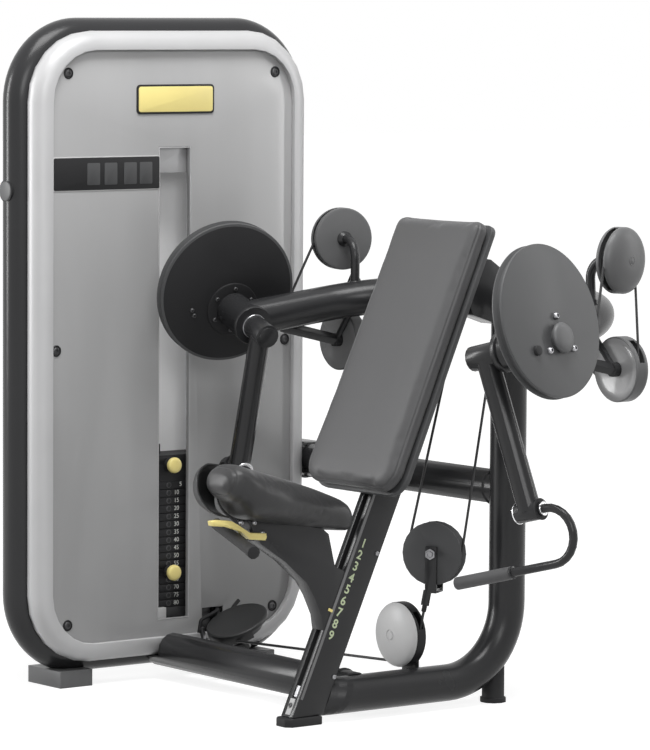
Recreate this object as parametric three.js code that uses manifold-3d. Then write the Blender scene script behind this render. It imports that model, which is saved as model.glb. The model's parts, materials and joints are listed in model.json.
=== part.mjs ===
// Arm curl machine: a weight tower, a welded frame, two lever arms, a backrest and a sliding seat.
// Millimetres, +Z up. The user sits facing -X, with the weight tower on their right at +Y.
// Positions are measured from the middle of the tower on the floor and shifted at the end.
import * as THREE from 'three';
import { mergeVertices } from 'three/addons/utils/BufferGeometryUtils.js';
import Module from 'manifold-3d';

const wasm = await Module();
wasm.setup();

// Plain ratios
const share = {
  merge: 1e-4, half: 0.5, headLean: 0.22, passes: 12, backTurn: 0.3, cableStep: 0.35, flange: 0.22,
  steep: 0.9, tilt: 0.01, hint: [1, 0.3, 0.2], third: 1 / 3, shoulder: 0.87,
  shoulderRise: 0.5, crownRise: 0.92, padMiddle: 0.7, padEase: [0.45, 0.16],
    padEdge: 0.9,
};

// Clearances between pieces
const fit = { tiny: 0.2, gap: 0.3, weld: 3, cable: 1.5, running: 0.5, slot: 6, pinHole: 0.5 };

// Long enough to pass right through any piece
const reach = { far: 1500, side: 300 };

// How finely round shapes are divided
const sides = { tube: 16, bar: 10, pin: 8, wheel: 18, pulley: 24, disc: 32, cable: 6, bend: 3, corner: 6,
  square: 4 };

// Weight tower
const tower = {
  y: 745, tubeRadius: 38, halfWidth: 360, low: 64, high: 1432, cornerRadius: 145,
  footInner: 209, footOuter: 294, footFront: 684, footBack: 811, footTop: 37,
};
const edgeFrom = (overhang) => ({
  halfWidth: tower.halfWidth + overhang, low: tower.low - overhang, high: tower.high + overhang,
  cornerRadius: tower.cornerRadius + overhang,
});
const bezel = { back: 700, overhang: 10, front: 661 };
const bezelEdge = edgeFrom(bezel.overhang);
const bezelSection = [
  [-2, -6.7], [0, 10], [-8, 26], [-22, 35], [-42, 38], [-42, 24.3], [-21.7, 24.3], [-18, -6.7],
];
const panel = { front: 676, thickness: 4, inset: 22 };
const panelEdge = edgeFrom(bezel.overhang - panel.inset);
const slot = { left: -36, right: 46, low: 134, high: 1183, wall: 3, depth: 12, cornerRadius: 6 };
const cover = { front: 783.3, rim: 6, back: 808, inset: 2, dish: 34 };
const coverEdge = edgeFrom(-cover.inset);
const cableHole = { x: 113, z: 122, width: 58, height: 56 };

// Weight stack
const stack = {
  halfWidth: 120, front: 695, back: 775, bottom: 156.1, pitch: 17.73, count: 16, resting: 4,
  groove: 1.6, grooveDepth: 3, rodX: 92, rodY: 737, rodRadius: 10, rodDrop: 282, rodPlate: 12, plateReach: 112,
  baseLow: 95, bushing: 2, stemRadius: 12.5, stemLow: 160, stemGap: 0.6,
  headTop: 498, headHalfWidth: 108, hangerRadius: 9, hangerTop: 520,
};
const rodHigh = tower.high - stack.rodDrop;
const pin = {
  x: 5, knobFront: 667, knobRadius: 19, knobLength: 13, collarRadius: 11, collarLength: 5,
  shaftRadius: 4.5, tip: 742, stackZ: 235.9, headZ: 477, headTip: 712, knobEdge: 2,
};

// Floor frame
const beam = {
  radius: 39.5, towerX: -8, towerZ: 65, mainZ: 53, rise: 6, end: 711, start: -162, rearX: 408, bend: 165,
    top: 872.4,
};
const crossTube = { z: 462.5, radius: 37.5, end: 699.7, overlap: 20 };
const clamp = { thickness: 47.7, front: 700, back: 780, low: 423, high: 503 };
const clampInner = tower.halfWidth + tower.tubeRadius + fit.gap;
const rearFoot = { x: 372, radius: 25, top: 84, pad: 29, padTop: 10 };
const postFoot = { left: -205, right: -115, halfWidth: 27, top: 18, edge: 12 };

// Post: leans back by its angle, measured along its front face
const post = {
  lean: THREE.MathUtils.degToRad(24.4), frontAtFloor: -196.7, width: 42, depth: 72, low: 18.3, high: 980,
    spare: 60,
  slotWidth: 14, slotDepth: 20, slotLow: 60, slotHigh: 520,
};
const head = {
  halfWidth: 30, outline: [[255, 905], [282, 845], [352, 822], [372, 826], [408, 872], [400, 915], [330, 962],
    [290, 968]],
};

// Top tube: a horseshoe that carries the two bearing housings
const horseshoe = { crossX: 408, slope: 0.159, spread: 0.2425, bend: 235, radius: 39, startX: 44.9,
  startY: 466.5, startZ: 814.7 };
const crossHeight = horseshoe.startZ + horseshoe.slope * (horseshoe.crossX - horseshoe.startX);

// Lever pivots, written for the +Y side
const pivot = { x: 61, y: 537.5, z: 832.8 };
const inwardWay = { x: -0.214, y: -0.947, z: -0.241 };
const disc = {
  radius: 158, thickness: 26, rise: 37.9, ahead: -15, grooveRadius: 150, grooveHalf: 6, rimEdge: 3,
  flangeRadius: 60, flangeLength: 6, capRadius: 32.5, capLength: 19, capEdge: 10,
  boltCircle: 46, boltRadius: 7, boltLength: 6, bolts: 3, stopRadius: 13, stopLength: 12, stopReach: 70,
};
const housing = { near: 8, far: 122, radius: 39, ringRadius: 43, ringLength: 12, bore: 22 };
const stub = { shaftRadius: 20, near: 125, far: 199, radius: 26, edge: 4, capRadius: 20, capLength: 4 };
const lever = { radius: 24, station: 163, length: 330, inward: 0.112, socketRadius: 21, socketHalf: 30,
  bore: 9.6 };
const handle = {
  rodRadius: 9, reach: 40, bow: 57.5, drop: 115, collar: -70,
  gripNear: -75, gripFar: -219, gripRadius: 13.5, rodInset: 20, gripOverlap: 9,
};
const washer = { radius: 16, length: 5 };

// Cable wheels, written for the +Y side; each centre is x, y, z
const cable = { radius: 3, anchorTurn: 0.5 };
const upper = {
  x: 310.8, y: 466.5, z: 983.8, tilt: 0.25, lay: 57, width: 18, coverRadius: 69, coverWidth: 30, wall: 3,
  dome: 16, footX: 296, footY: 398, footZ: 866, elbow: 60, armRadius: 10, armBend: 40, hubRadius: 17, hubLength: 7,
};
const lower = {
  x: 318, y: 467.1, z: 758.8, lay: 57, width: 18, coverRadius: 68, coverWidth: 32, wall: 3,
  armHalf: 9, armX: 132, armY: 450, armZ: 797, hubX: 299, hubRadius: 15, strutRadius: 7, strutX: 292,
    strutY: 412, strutZ: 824,
};
const headWheel = {
  x: 326, y: 100, z: 872, lay: 36, width: 18, pinReach: 30,
  plateBack: 350, plateFront: 360, plateHalf: 112, plateLow: 846, plateHigh: 886,
};
const floating = { x: 205, z: 336, lay: 62, rim: 68, width: 30, across: -0.49, along: -0.87 };
const strap = {
  halfWidth: 13, thickness: 5, side: 1, low: 262, cap: 16, capRadius: 12.8, capLength: 4, ferrule: 9,
    ferruleLow: 222,
};
const base = {
  x: 163, y: 58, z: 158, lay: 60, width: 16, coverRadius: 70, coverWidth: 28, wall: 3, dome: 18,
  plateNear: 179, plateFar: 187, plateLeft: 26, plateRight: 76, plateLow: 55, plateHigh: 176,
};
const puck = {
  x: 116, y: 580.9, z: 118.7, lay: 57, rim: 68, width: 24, capWidth: 5,
  armLow: 50, armRadius: 8, hub: 52, hubRadius: 11, inX: -0.1859, inY: 0.9825, inZ: -0.0091, outX: 0.6367,
    outY: 0.6767, outZ: 0.3697,
};
const turner = { x: 160.8, y: 708.8, z: 178.3, lay: 25, width: 10, postReach: 20, postRadius: 7, postLow: 80,
  postTop: 186 };
const top = {
  y: 733, drop: 142, lay: 88, width: 16, pinRadius: 8, riseX: 177.9, plateFront: 743, plateBack: 755,
    plateHalf: 22,
};
const topHigh = tower.high - top.drop;
const wheelBore = 8.5;

// Backrest and seat
const rest = {
  faceX: -4.2, faceZ: 600, slope: 0.4555, low: 496, high: 1065, topHalf: 149, bottomHalf: 158,
  topCorner: 26, bottomCorner: 52, padThickness: 42, boardThickness: 12, crown: 5, crownReach: 100,
  edge: 13, backInset: 10, backEase: 2, easeInsets: [2, 6], crownInsets: [30, 60, 100, 140], boardInset: 6,
    mountDepth: 12, mountLength: 90, mountLow: 130, mountHigh: 470,
};
const seatStations = [
  [-399, 512, 500, 30], [-392, 540, 482, 55], [-380, 556, 466, 68], [-362, 565, 455, 76], [-335, 560, 448, 79],
  [-300, 548.5, 442, 79], [-260, 536, 436, 75], [-220, 523.5, 430, 67], [-180, 511, 423.5, 58],
    [-144, 499.5, 417, 49],
  [-110, 489, 410, 42], [-80, 479.5, 405, 37], [-58, 472, 401, 34], [-42, 463, 399, 30], [-30, 450, 402, 23],
    [-25, 436, 412, 13],
];
const seatSection = { power: 2.7, points: 26 };
const carriage = {
  halfWidth: 20, clearance: 0.6,
  outline: [
    [-316, 454], [-224, 442], [-128, 424], [-96, 400], [-79, 330], [-54, 318], [-104, 172], [-113, 228],
    [-133, 270], [-153, 301], [-209, 349], [-274, 392],
  ],
};
const releaseLever = {
  near: -37, far: -21, bossX: -278, bossZ: 408, bossRadius: 7,
  outline: [[-411, 449], [-392, 450], [-362, 447], [-345, 438], [-312, 418], [-272, 415],
    [-274, 401], [-312, 405], [-338, 424], [-375, 436], [-409, 439.5]],
};
const seatHandle = {
  radius: 12.5, from: [-318, 75, 427], to: [-359, -110, 388.7], capRadius: 14, capLength: 14,
  armFrom: [-335, 0, 411.5], armTo: [-270, 0, 402], armRadius: 7,
};

const paint = {
  frame: { color: 0x2e3033, roughness: 0.45, metalness: 0.3 },
  silver: { color: 0xb9bcc0, roughness: 0.35, metalness: 0.8 },
  panel: { color: 0x8e9093, roughness: 0.25, metalness: 0 },
  dark: { color: 0x232426, roughness: 0.6, metalness: 0 },
  vinyl: { color: 0x1f2022, roughness: 0.6, metalness: 0 },
  iron: { color: 0x141416, roughness: 0.6, metalness: 0.3 },
  chrome: { color: 0xd5d7da, roughness: 0.15, metalness: 1 },
  yellow: { color: 0xe6c832, roughness: 0.4, metalness: 0 },
  rubber: { color: 0x18191a, roughness: 0.8, metalness: 0 },
  pale: { color: 0xa9abad, roughness: 0.4, metalness: 0 },
};

const at = (x, y, z) => new THREE.Vector3(x, y, z);
const unit = (x, y, z) => at(x, y, z).normalize();
const along = (start, ...steps) => {
  const point = start.clone();
  for (const [way, length] of steps) point.addScaledVector(way, length);
  return point;
};

// Cleans a shape: shared corners, no flat triangles, faces outward
function clean(geometry) {
  const bare = geometry.clone();
  bare.deleteAttribute('normal');
  bare.deleteAttribute('uv');
  const merged = mergeVertices(bare, share.merge);
  const points = merged.getAttribute('position');
  const kept = [];
  let volume = 0;
  const corner = [at(0, 0, 0), at(0, 0, 0), at(0, 0, 0)];
  for (let i = 0; i < merged.index.count; i += 3) {
    const ids = [merged.index.getX(i), merged.index.getX(i + 1), merged.index.getX(i + 2)];
    if (new Set(ids).size < 3) continue;
    ids.forEach((id, k) => corner[k].fromBufferAttribute(points, id));
    volume += corner[0].dot(corner[1].clone().cross(corner[2]));
    kept.push(...ids);
  }
  if (volume < 0) kept.reverse();
  merged.setIndex(kept);
  return merged;
}

function solid(geometry) {
  const ready = clean(geometry);
  return new wasm.Manifold(new wasm.Mesh({
    numProp: 3,
    vertProperties: new Float32Array(ready.getAttribute('position').array),
    triVerts: new Uint32Array(ready.index.array),
  }));
}

function shape(body) {
  const mesh = body.getMesh();
  const geometry = new THREE.BufferGeometry();
  geometry.setAttribute('position', new THREE.BufferAttribute(new Float32Array(mesh.vertProperties), 3));
  geometry.setIndex(Array.from(mesh.triVerts));
  return geometry;
}

const joined = (...parts) => shape(parts.map(solid).reduce((sum, part) => sum.add(part)));
const cut = (body, ...tools) => shape(tools.map(solid).reduce((left, tool) => left.subtract(tool),
  solid(body)));
const common = (first, second) => shape(solid(first).intersect(solid(second)));
const mirrored = (geometry) => geometry.clone().applyMatrix4(new THREE.Matrix4().makeScale(1, -1, 1));

// Puts a shape drawn along +Z at an origin, with its own Z along an axis
function placed(geometry, origin, axis) {
  const z = axis.clone().normalize();
  const hint = Math.abs(z.z) < share.steep ? at(0, 0, 1) : at(1, 0, 0);
  const x = hint.clone().addScaledVector(z, -hint.dot(z)).normalize();
  const y = z.clone().cross(x);
  return geometry.clone().applyMatrix4(new THREE.Matrix4().makeBasis(x, y, z).setPosition(origin));
}

function bar(from, to, radius, count = sides.bar) {
  const way = to.clone().sub(from);
  const drum = new THREE.CylinderGeometry(radius, radius, way.length(), count);
  drum.rotateX(Math.PI / 2).translate(0, 0, way.length() / 2);
  return placed(drum, from, way);
}

function block(low, high) {
  const size = high.map((value, k) => value - low[k]);
  return new THREE.BoxGeometry(...size).translate(...high.map((value, k) => (value + low[k]) / 2));
}

// Turns a radius and height outline about its own Z
function turned(outline, origin, axis, count = sides.wheel) {
  const lathe = new THREE.LatheGeometry(outline.map(([r, h]) => new THREE.Vector2(r, h)), count);
  return placed(lathe.rotateX(Math.PI / 2), origin, axis);
}

function roundedRectangle(halfWidth, low, high, radius) {
  const outline = new THREE.Shape();
  outline.moveTo(halfWidth - radius, low);
  outline.absarc(halfWidth - radius, low + radius, radius, -Math.PI / 2, 0);
  outline.absarc(halfWidth - radius, high - radius, radius, 0, Math.PI / 2);
  outline.absarc(radius - halfWidth, high - radius, radius, Math.PI / 2, Math.PI);
  outline.absarc(radius - halfWidth, low + radius, radius, Math.PI, Math.PI * 3 / 2);
  return outline;
}

const polygon = (points) => new THREE.Shape(points.map(([x, y]) => new THREE.Vector2(x, y)));

// An outline in X and Z, made solid from one Y to another
function upright(outline, fromY, toY) {
  const slab = new THREE.ExtrudeGeometry(outline, {
    depth: toY - fromY, bevelEnabled: false, curveSegments: sides.corner / 2,
  });
  return slab.rotateX(Math.PI / 2).translate(0, toY, 0);
}

const round = (radius, count) => Array.from({ length: count }, (_, k) => {
  const turn = 2 * Math.PI * k / count;
  return [radius * Math.cos(turn), radius * Math.sin(turn)];
});

// Carries a flat section along a list of points and directions
function swept(section, stations, side, closed = false) {
  const positions = [];
  let x = side.clone();
  for (const { point, way } of stations) {
    x = x.addScaledVector(way, -x.dot(way)).normalize();
    const y = way.clone().cross(x);
    for (const [a, b] of section) positions.push(...along(point, [x, a], [y, b]).toArray());
  }
  const count = section.length;
  const faces = [];
  const last = closed ? stations.length : stations.length - 1;
  for (let i = 0; i < last; i += 1) {
    const here = i * count;
    const next = ((i + 1) % stations.length) * count;
    for (let k = 0; k < count; k += 1) {
      const n = (k + 1) % count;
      faces.push(here + k, here + n, next + n, here + k, next + n, next + k);
    }
  }
  if (!closed) {
    const flat = section.map(([a, b]) => new THREE.Vector2(a, b));
    const end = (stations.length - 1) * count;
    for (const [a, b, c] of THREE.ShapeUtils.triangulateShape(flat, [])) {
      faces.push(c, b, a, end + a, end + b, end + c);
    }
  }
  const geometry = new THREE.BufferGeometry();
  geometry.setAttribute('position', new THREE.Float32BufferAttribute(positions, 3));
  geometry.setIndex(faces);
  return geometry;
}

// A path through corner points with a bend of the given radius at each inner one
function bent(corners, radius, steps = sides.bend, closed = false) {
  const stations = [];
  const count = corners.length;
  corners.forEach((corner, k) => {
    const before = corners[(k + count - 1) % count];
    const after = corners[(k + 1) % count];
    const arrive = corner.clone().sub(before).normalize();
    const leave = after.clone().sub(corner).normalize();
    if (!closed && k === 0) return stations.push({ point: corner.clone(), way: leave });
    if (!closed && k === count - 1) return stations.push({ point: corner.clone(), way: arrive });
    const turn = arrive.angleTo(leave);
    const reach = radius * Math.tan(turn / 2);
    const inside = leave.clone().addScaledVector(arrive, -leave.dot(arrive)).normalize();
    const start = along(corner, [arrive, -reach]);
    for (let step = 0; step <= steps; step += 1) {
      const angle = turn * step / steps;
      stations.push({
        point: along(start, [arrive, radius * Math.sin(angle)], [inside, radius * (1 - Math.cos(angle))]),
        way: along(at(0, 0, 0), [arrive, Math.cos(angle)], [inside, Math.sin(angle)]),
      });
    }
  });
  return stations;
}

const pipe = (corners, radius, bendRadius, count = sides.tube, steps = sides.bend,
  side = at(0, 1, share.tilt)) =>
  swept(round(radius, count), bent(corners, bendRadius, steps), side);

// Post directions: along its length, and out of its front face
const postUp = at(Math.sin(post.lean), 0, Math.cos(post.lean));
const postOut = at(-Math.cos(post.lean), 0, Math.sin(post.lean));
const postFront = (z) => at(post.frontAtFloor + z * Math.tan(post.lean), 0, z);

// Lever directions on the +Y side
const inward = unit(inwardWay.x, inwardWay.y, inwardWay.z);
const ahead = unit(-inwardWay.y, inwardWay.x, 0);
const rise = inward.clone().cross(ahead);
const hinge = at(pivot.x, pivot.y, pivot.z);
const down = along(at(0, 0, 0), [rise, -1], [inward, -lever.inward]).normalize();
const socket = along(hinge, [inward, lever.station], [down, lever.length]);

// Tower frame
const loopCorners = (halfWidth, low, high, y) => [
  at(halfWidth, y, low), at(halfWidth, y, high), at(-halfWidth, y, high), at(-halfWidth, y, low),
];
const loopPath = bent(loopCorners(tower.halfWidth, tower.low, tower.high, tower.y), tower.cornerRadius,
  sides.corner, true);
const loopTube = (radius) => swept(round(radius, sides.tube), loopPath, at(0, 1, 0), true);
const stackBase = block([-stack.halfWidth, stack.front, stack.baseLow],
  [stack.halfWidth, stack.back, stack.bottom - fit.gap]);
const rodHoles = (radius) => [-stack.rodX, stack.rodX].map((x) =>
  bar(at(x, stack.rodY, 0), at(x, stack.rodY, tower.high), radius));
const stemHole = (radius) => bar(at(0, stack.rodY, 0), at(0, stack.rodY, stack.hangerTop), radius);
const rodHoleSet = rodHoles(stack.rodRadius + stack.bushing);

// Cable wheels: each takes a cable from the wheel before it to the one after it
const wheelOf = (centre, axis, lay) => ({ centre, axis: axis.clone().normalize(), lay });
const mirrorPoint = (p) => at(p.x, -p.y, p.z);
const discCentre = along(hinge, [rise, disc.rise], [ahead, disc.ahead], [inward, -disc.thickness * share.half]);
const slideWay = unit(headWheel.x - floating.x, 0, headWheel.z - floating.z);
const rightWheels = [
  wheelOf(discCentre, inward, (disc.grooveRadius + cable.radius + fit.gap * 2) / Math.cos(share.cableStep / 2)),
  wheelOf(at(upper.x, upper.y, upper.z), at(upper.tilt, 1, 0), upper.lay),
  wheelOf(at(lower.x, lower.y, lower.z), at(-1, 0, 0), lower.lay),
  wheelOf(at(headWheel.x, headWheel.y, headWheel.z), at(1, 0, -share.headLean), headWheel.lay),
];
const floatWheel = wheelOf(at(floating.x, 0, floating.z), at(floating.along, floating.across, 0), floating.lay);
const leftWheels = rightWheels.map((wheel) => wheelOf(mirrorPoint(wheel.centre), mirrorPoint(wheel.axis),
  wheel.lay)).reverse();
const baseWheel = wheelOf(at(base.x, base.y, base.z), at(1, 0, 0), base.lay);
const topWheel = wheelOf(at(top.riseX * share.half, top.y, topHigh), at(0, -1, 0), top.lay);

// Finds where the cable touches each wheel, then lists the points along it
function cableStations(start, wheels, finish, startTurn = 0, endTurn = 0) {
  const touch = (wheel, way) => {
    const flat = way.clone().addScaledVector(wheel.axis, -way.dot(wheel.axis)).normalize();
    return { way: flat, point: along(wheel.centre, [wheel.axis.clone().cross(flat), -wheel.lay]) };
  };
  const arrive = wheels.map((wheel, k) => wheel.centre.clone().sub(k ? wheels[k - 1].centre : start ?? wheel.centre));
  const leave = wheels.map((wheel, k) => (wheels[k + 1]?.centre ?? finish ?? wheel.centre).clone().sub(wheel.centre));
  for (let pass = 0; pass < share.passes; pass += 1) {
    wheels.forEach((wheel, k) => {
      const from = k ? touch(wheels[k - 1], leave[k - 1]).point : start;
      if (!from) return;
      arrive[k] = touch(wheel, arrive[k]).point.sub(from);
      if (k) leave[k - 1] = arrive[k].clone();
    });
    if (finish) leave[wheels.length - 1] = finish.clone().sub(touch(wheels[wheels.length - 1],
      leave[wheels.length - 1]).point);
  }
  const stations = [];
  if (start) stations.push({ point: start.clone(), way: arrive[0].clone().normalize() });
  wheels.forEach((wheel, k) => {
    let first = touch(wheel, k || start ? arrive[k] : leave[k]).way;
    const final = touch(wheel, k < wheels.length - 1 || finish ? leave[k] : arrive[k]).way;
    let turn = Math.atan2(first.clone().cross(final).dot(wheel.axis), first.dot(final));
    if (turn < -share.backTurn) turn += 2 * Math.PI;
    if (!start && k === 0) {
      first = first.clone().applyAxisAngle(wheel.axis, -startTurn);
      turn = startTurn;
    }
    if (!finish && k === wheels.length - 1) turn = endTurn;
    const steps = Math.max(1, Math.ceil(Math.abs(turn) / share.cableStep));
    for (let step = 0; step <= steps; step += 1) {
      const way = first.clone().applyAxisAngle(wheel.axis, turn * step / steps);
      stations.push({ way, point: along(wheel.centre, [wheel.axis.clone().cross(way), -wheel.lay]) });
    }
  });
  if (finish) stations.push({ point: finish.clone(), way: leave[wheels.length - 1].clone().normalize() });
  return stations;
}

const armStations = cableStations(null, [...rightWheels, floatWheel, ...leftWheels], null, cable.anchorTurn,
  cable.anchorTurn);
const thread = (stations, radius, count) => swept(round(radius, count), stations, at(...share.hint));
const armCable = thread(armStations, cable.radius, sides.cable);
const ferruleTop = along(at(floating.x, 0, floating.z),
  [slideWay, -(floating.z - strap.ferruleLow) / slideWay.z]);
const puckWay = [unit(puck.inX, puck.inY, puck.inZ), unit(puck.outX, puck.outY, puck.outZ)];
const puckAxis = puckWay[0].clone().cross(puckWay[1]).normalize();
const puckWheel = wheelOf(at(puck.x, puck.y, puck.z), puckAxis, puck.lay);
const turnerWay = at(puckWay[1].x, puckWay[1].y, 0).normalize();
const turnerWheel = wheelOf(at(turner.x, turner.y, turner.z), turnerWay.clone().cross(at(0, 0, 1)), turner.lay);
const stackTop = at(0, stack.rodY, stack.hangerTop);
const stackStations = cableStations(ferruleTop, [baseWheel, puckWheel, turnerWheel, topWheel], stackTop);
const stackCable = thread(stackStations, cable.radius, sides.cable);
const armRoom = thread(armStations, cable.radius + fit.cable, sides.cable);
const stackRoom = thread(stackStations, cable.radius + fit.cable, sides.cable);

// A wheel under its cable: a plain drum, with a flange on the sides that ask for one
function pulley(wheel, width, front = 0, back = 0) {
  const half = width / 2;
  const floor = wheel.lay * Math.cos(share.cableStep / 2) - cable.radius - fit.gap * 2;
  const outline = [[wheelBore, -half]];
  if (back) outline.push([back, -half], [back, -half + share.flange * half],
    [floor, -half + share.flange * half * 2]);
  else outline.push([floor, -half]);
  if (front) outline.push([floor, half - share.flange * half * 2], [front, half - share.flange * half],
    [front, half]);
  else outline.push([floor, half]);
  outline.push([wheelBore, half], [wheelBore, -half]);
  return turned(outline, wheel.centre, wheel.axis, sides.pulley);
}

// A hollow drum around a wheel: out is its closed face, open leaves the other face off
function drum(centre, axis, data, open) {
  const half = data.coverWidth / 2;
  const crown = data.dome ? [[data.coverRadius * share.shoulder, half + data.dome * share.shoulderRise],
    [data.coverRadius * share.half, half + data.dome * share.crownRise], [0, half + data.dome]]
    : [[data.coverRadius - data.wall, half], [0, half]];
  const outer = turned([[0, -half], [data.coverRadius, -half], [data.coverRadius, half - data.wall],
    ...crown], centre, axis);
  const low = open ? -half - data.wall : -half + data.wall;
  const inner = turned([[0, low], [data.coverRadius - data.wall, low],
    [data.coverRadius - data.wall, half - data.wall],
    [0, half - data.wall]], centre, axis);
  return cut(outer, inner);
}

// Tower
const panelHole = (low, high) => block([slot.left - slot.wall, 0, low],
  [slot.right + slot.wall, tower.y, high]);
const topPin = bar(at(topWheel.centre.x, top.y - top.width / 2, topHigh),
  at(topWheel.centre.x, top.plateBack, topHigh), top.pinRadius);
const topStrap = block([topWheel.centre.x - top.plateHalf, top.plateFront, rodHigh],
  [topWheel.centre.x + top.plateHalf, top.plateBack, tower.high]);
const rodPlate = block([-stack.plateReach, stack.rodY - stack.rodPlate, rodHigh],
  [stack.plateReach, top.plateBack, rodHigh + stack.rodPlate]);
const turnerFoot = along(turnerWheel.centre, [turnerWheel.axis, -turner.postReach]);
const turnerPost = bar(at(turnerFoot.x, turnerFoot.y, turner.postLow),
  at(turnerFoot.x, turnerFoot.y, turner.postTop), turner.postRadius, sides.pin);
const turnerPin = bar(turnerFoot, along(turnerWheel.centre, [turnerWheel.axis, turner.width / 2]),
  wheelBore - fit.running, sides.wheel);
const towerFrame = cut(joined(loopTube(tower.tubeRadius), stackBase, topStrap, rodPlate, topPin, turnerPost,
  turnerPin),
  bar(at(0, stack.rodY, rodHigh - fit.weld), at(0, stack.rodY, rodHigh + stack.rodPlate + fit.weld),
    fit.slot + fit.weld));
const bezelPath = bent(loopCorners(bezelEdge.halfWidth, bezelEdge.low, bezelEdge.high, bezel.back),
  bezelEdge.cornerRadius, sides.corner, true);
const towerBezel = swept(bezelSection.map(([out, forward]) => [-forward, -out]), bezelPath, at(0, 1, 0), true);
const panelPlate = upright(roundedRectangle(panelEdge.halfWidth, panelEdge.low, panelEdge.high,
  panelEdge.cornerRadius),
  panel.front, panel.front + panel.thickness);
const towerPanel = cut(panelPlate, panelHole(slot.low - slot.wall, slot.high + slot.wall),
  block([cableHole.x - cableHole.width / 2, panel.front - fit.weld, cableHole.z - cableHole.height / 2],
    [cableHole.x + cableHole.width / 2, panel.front + panel.thickness + fit.weld,
      cableHole.z + cableHole.height / 2]));
const channelOuter = block([slot.left - slot.wall + fit.gap, panel.front, slot.low - slot.wall + fit.gap],
  [slot.right + slot.wall - fit.gap, panel.front + slot.depth, slot.high + slot.wall - fit.gap]);
const stackChannel = cut(channelOuter, block([slot.left, 0, slot.low], [slot.right, tower.y, slot.high]));
const coverOutline = (inset) => roundedRectangle(coverEdge.halfWidth - inset, coverEdge.low + inset,
  coverEdge.high - inset,
  coverEdge.cornerRadius - inset);
const coverDish = new THREE.ExtrudeGeometry(coverOutline(cover.dish), {
  depth: fit.gap, bevelEnabled: true, bevelThickness: cover.back - cover.front - cover.rim,
    bevelSize: cover.dish,
  bevelSegments: 2, curveSegments: sides.corner / 2,
}).rotateX(Math.PI / 2);
coverDish.computeBoundingBox();
coverDish.translate(0, cover.front - coverDish.boundingBox.min.y, 0);
const rearCover = common(coverDish,
  block([-coverEdge.halfWidth, cover.front, 0], [coverEdge.halfWidth, cover.back, tower.high]));
const towerFoot = (sign) => cut(
  block([sign > 0 ? tower.footInner : -tower.footOuter, tower.footFront, 0],
    [sign > 0 ? tower.footOuter : -tower.footInner, tower.footBack, tower.footTop]),
  loopTube(tower.tubeRadius + fit.gap));
const guideRod = (sign) => bar(at(sign * stack.rodX, stack.rodY, stack.bottom),
  at(sign * stack.rodX, stack.rodY, rodHigh - fit.gap), stack.rodRadius);

// Weight stack
function plates(first, count) {
  const low = stack.bottom + (first - 1) * stack.pitch;
  const outline = [[stack.back, low]];
  outline.push([stack.front, low]);
  for (let k = 1; k < count; k += 1) {
    const seam = low + k * stack.pitch;
    outline.push([stack.front, seam - stack.groove], [stack.front + stack.grooveDepth, seam - stack.groove],
      [stack.front + stack.grooveDepth, seam], [stack.front, seam]);
  }
  const high = low + count * stack.pitch - fit.gap;
  outline.push([stack.front, high], [stack.back, high]);
  const comb = new THREE.ExtrudeGeometry(polygon(outline), { depth: stack.halfWidth * 2, bevelEnabled: false });
  comb.applyMatrix4(new THREE.Matrix4().makeBasis(at(0, 1, 0), at(0, 0, 1), at(1, 0, 0)));
  return comb.translate(-stack.halfWidth, 0, 0);
}
const pinHole = (z, tip, spare = 0) => bar(at(pin.x, pin.knobFront, z), at(pin.x, tip + spare, z),
  pin.shaftRadius + fit.pinHole, sides.pin);
const liftedCount = stack.count - stack.resting;
const platesResting = cut(plates(1, stack.resting), ...rodHoleSet, stemHole(stack.stemRadius + stack.stemGap));
const platesLifted = cut(plates(stack.resting + 1, liftedCount), ...rodHoleSet,
  stemHole(stack.stemRadius + stack.stemGap),
  pinHole(pin.stackZ, pin.tip));
const stackHigh = stack.bottom + stack.count * stack.pitch;
const headBlock = block([-stack.headHalfWidth, stack.front, stackHigh],
  [stack.headHalfWidth, stack.back, stack.headTop]);
const selectorStem = cut(joined(bar(at(0, stack.rodY, stack.stemLow),
  at(0, stack.rodY, stack.headTop - fit.weld), stack.stemRadius), headBlock,
  bar(at(0, stack.rodY, stack.headTop - fit.weld), at(0, stack.rodY, stack.hangerTop - fit.gap),
    stack.hangerRadius)),
  ...rodHoleSet, pinHole(pin.stackZ, pin.tip, fit.weld), pinHole(pin.headZ, pin.headTip, fit.weld));
const knob = (z, tip) => turned([[0, 0], [pin.knobRadius - pin.knobEdge, 0], [pin.knobRadius, pin.knobEdge],
  [pin.knobRadius, pin.knobLength], [pin.collarRadius, pin.knobLength + pin.knobEdge],
  [pin.collarRadius, pin.knobLength + pin.collarLength], [pin.shaftRadius, pin.knobLength + pin.collarLength],
  [pin.shaftRadius, tip - pin.knobFront], [0, tip - pin.knobFront]], at(pin.x, pin.knobFront, z), at(0, 1, 0),
    sides.bar);

// Post and floor frame
const bodyAlongPost = (low, high, width, depth, skin = 0) => {
  const origin = postFront(low);
  const length = (high - low) / Math.cos(post.lean);
  const box = new THREE.BoxGeometry(width, depth, length).translate(0, -depth / 2, length / 2);
  return box.applyMatrix4(new THREE.Matrix4().makeBasis(at(0, 1, 0), postOut.clone(),
    postUp.clone()).setPosition(along(origin, [postOut, skin])));
};
const floorCut = block([-reach.far, -reach.side, -reach.side], [reach.far, reach.side, post.low]);
const postTopCut = block([-reach.far, -reach.side, post.high], [reach.far, reach.side, reach.far]);
const groove = bodyAlongPost(post.slotLow, post.slotHigh, post.slotWidth, post.slotDepth, fit.weld);
const postBody = cut(bodyAlongPost(-post.spare, post.high + post.spare, post.width, post.depth), floorCut,
  postTopCut,
  groove);
const postRoom = bodyAlongPost(-post.spare, post.high + post.spare, post.width + fit.gap * 2,
  post.depth + fit.gap * 2,
  fit.gap);
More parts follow.
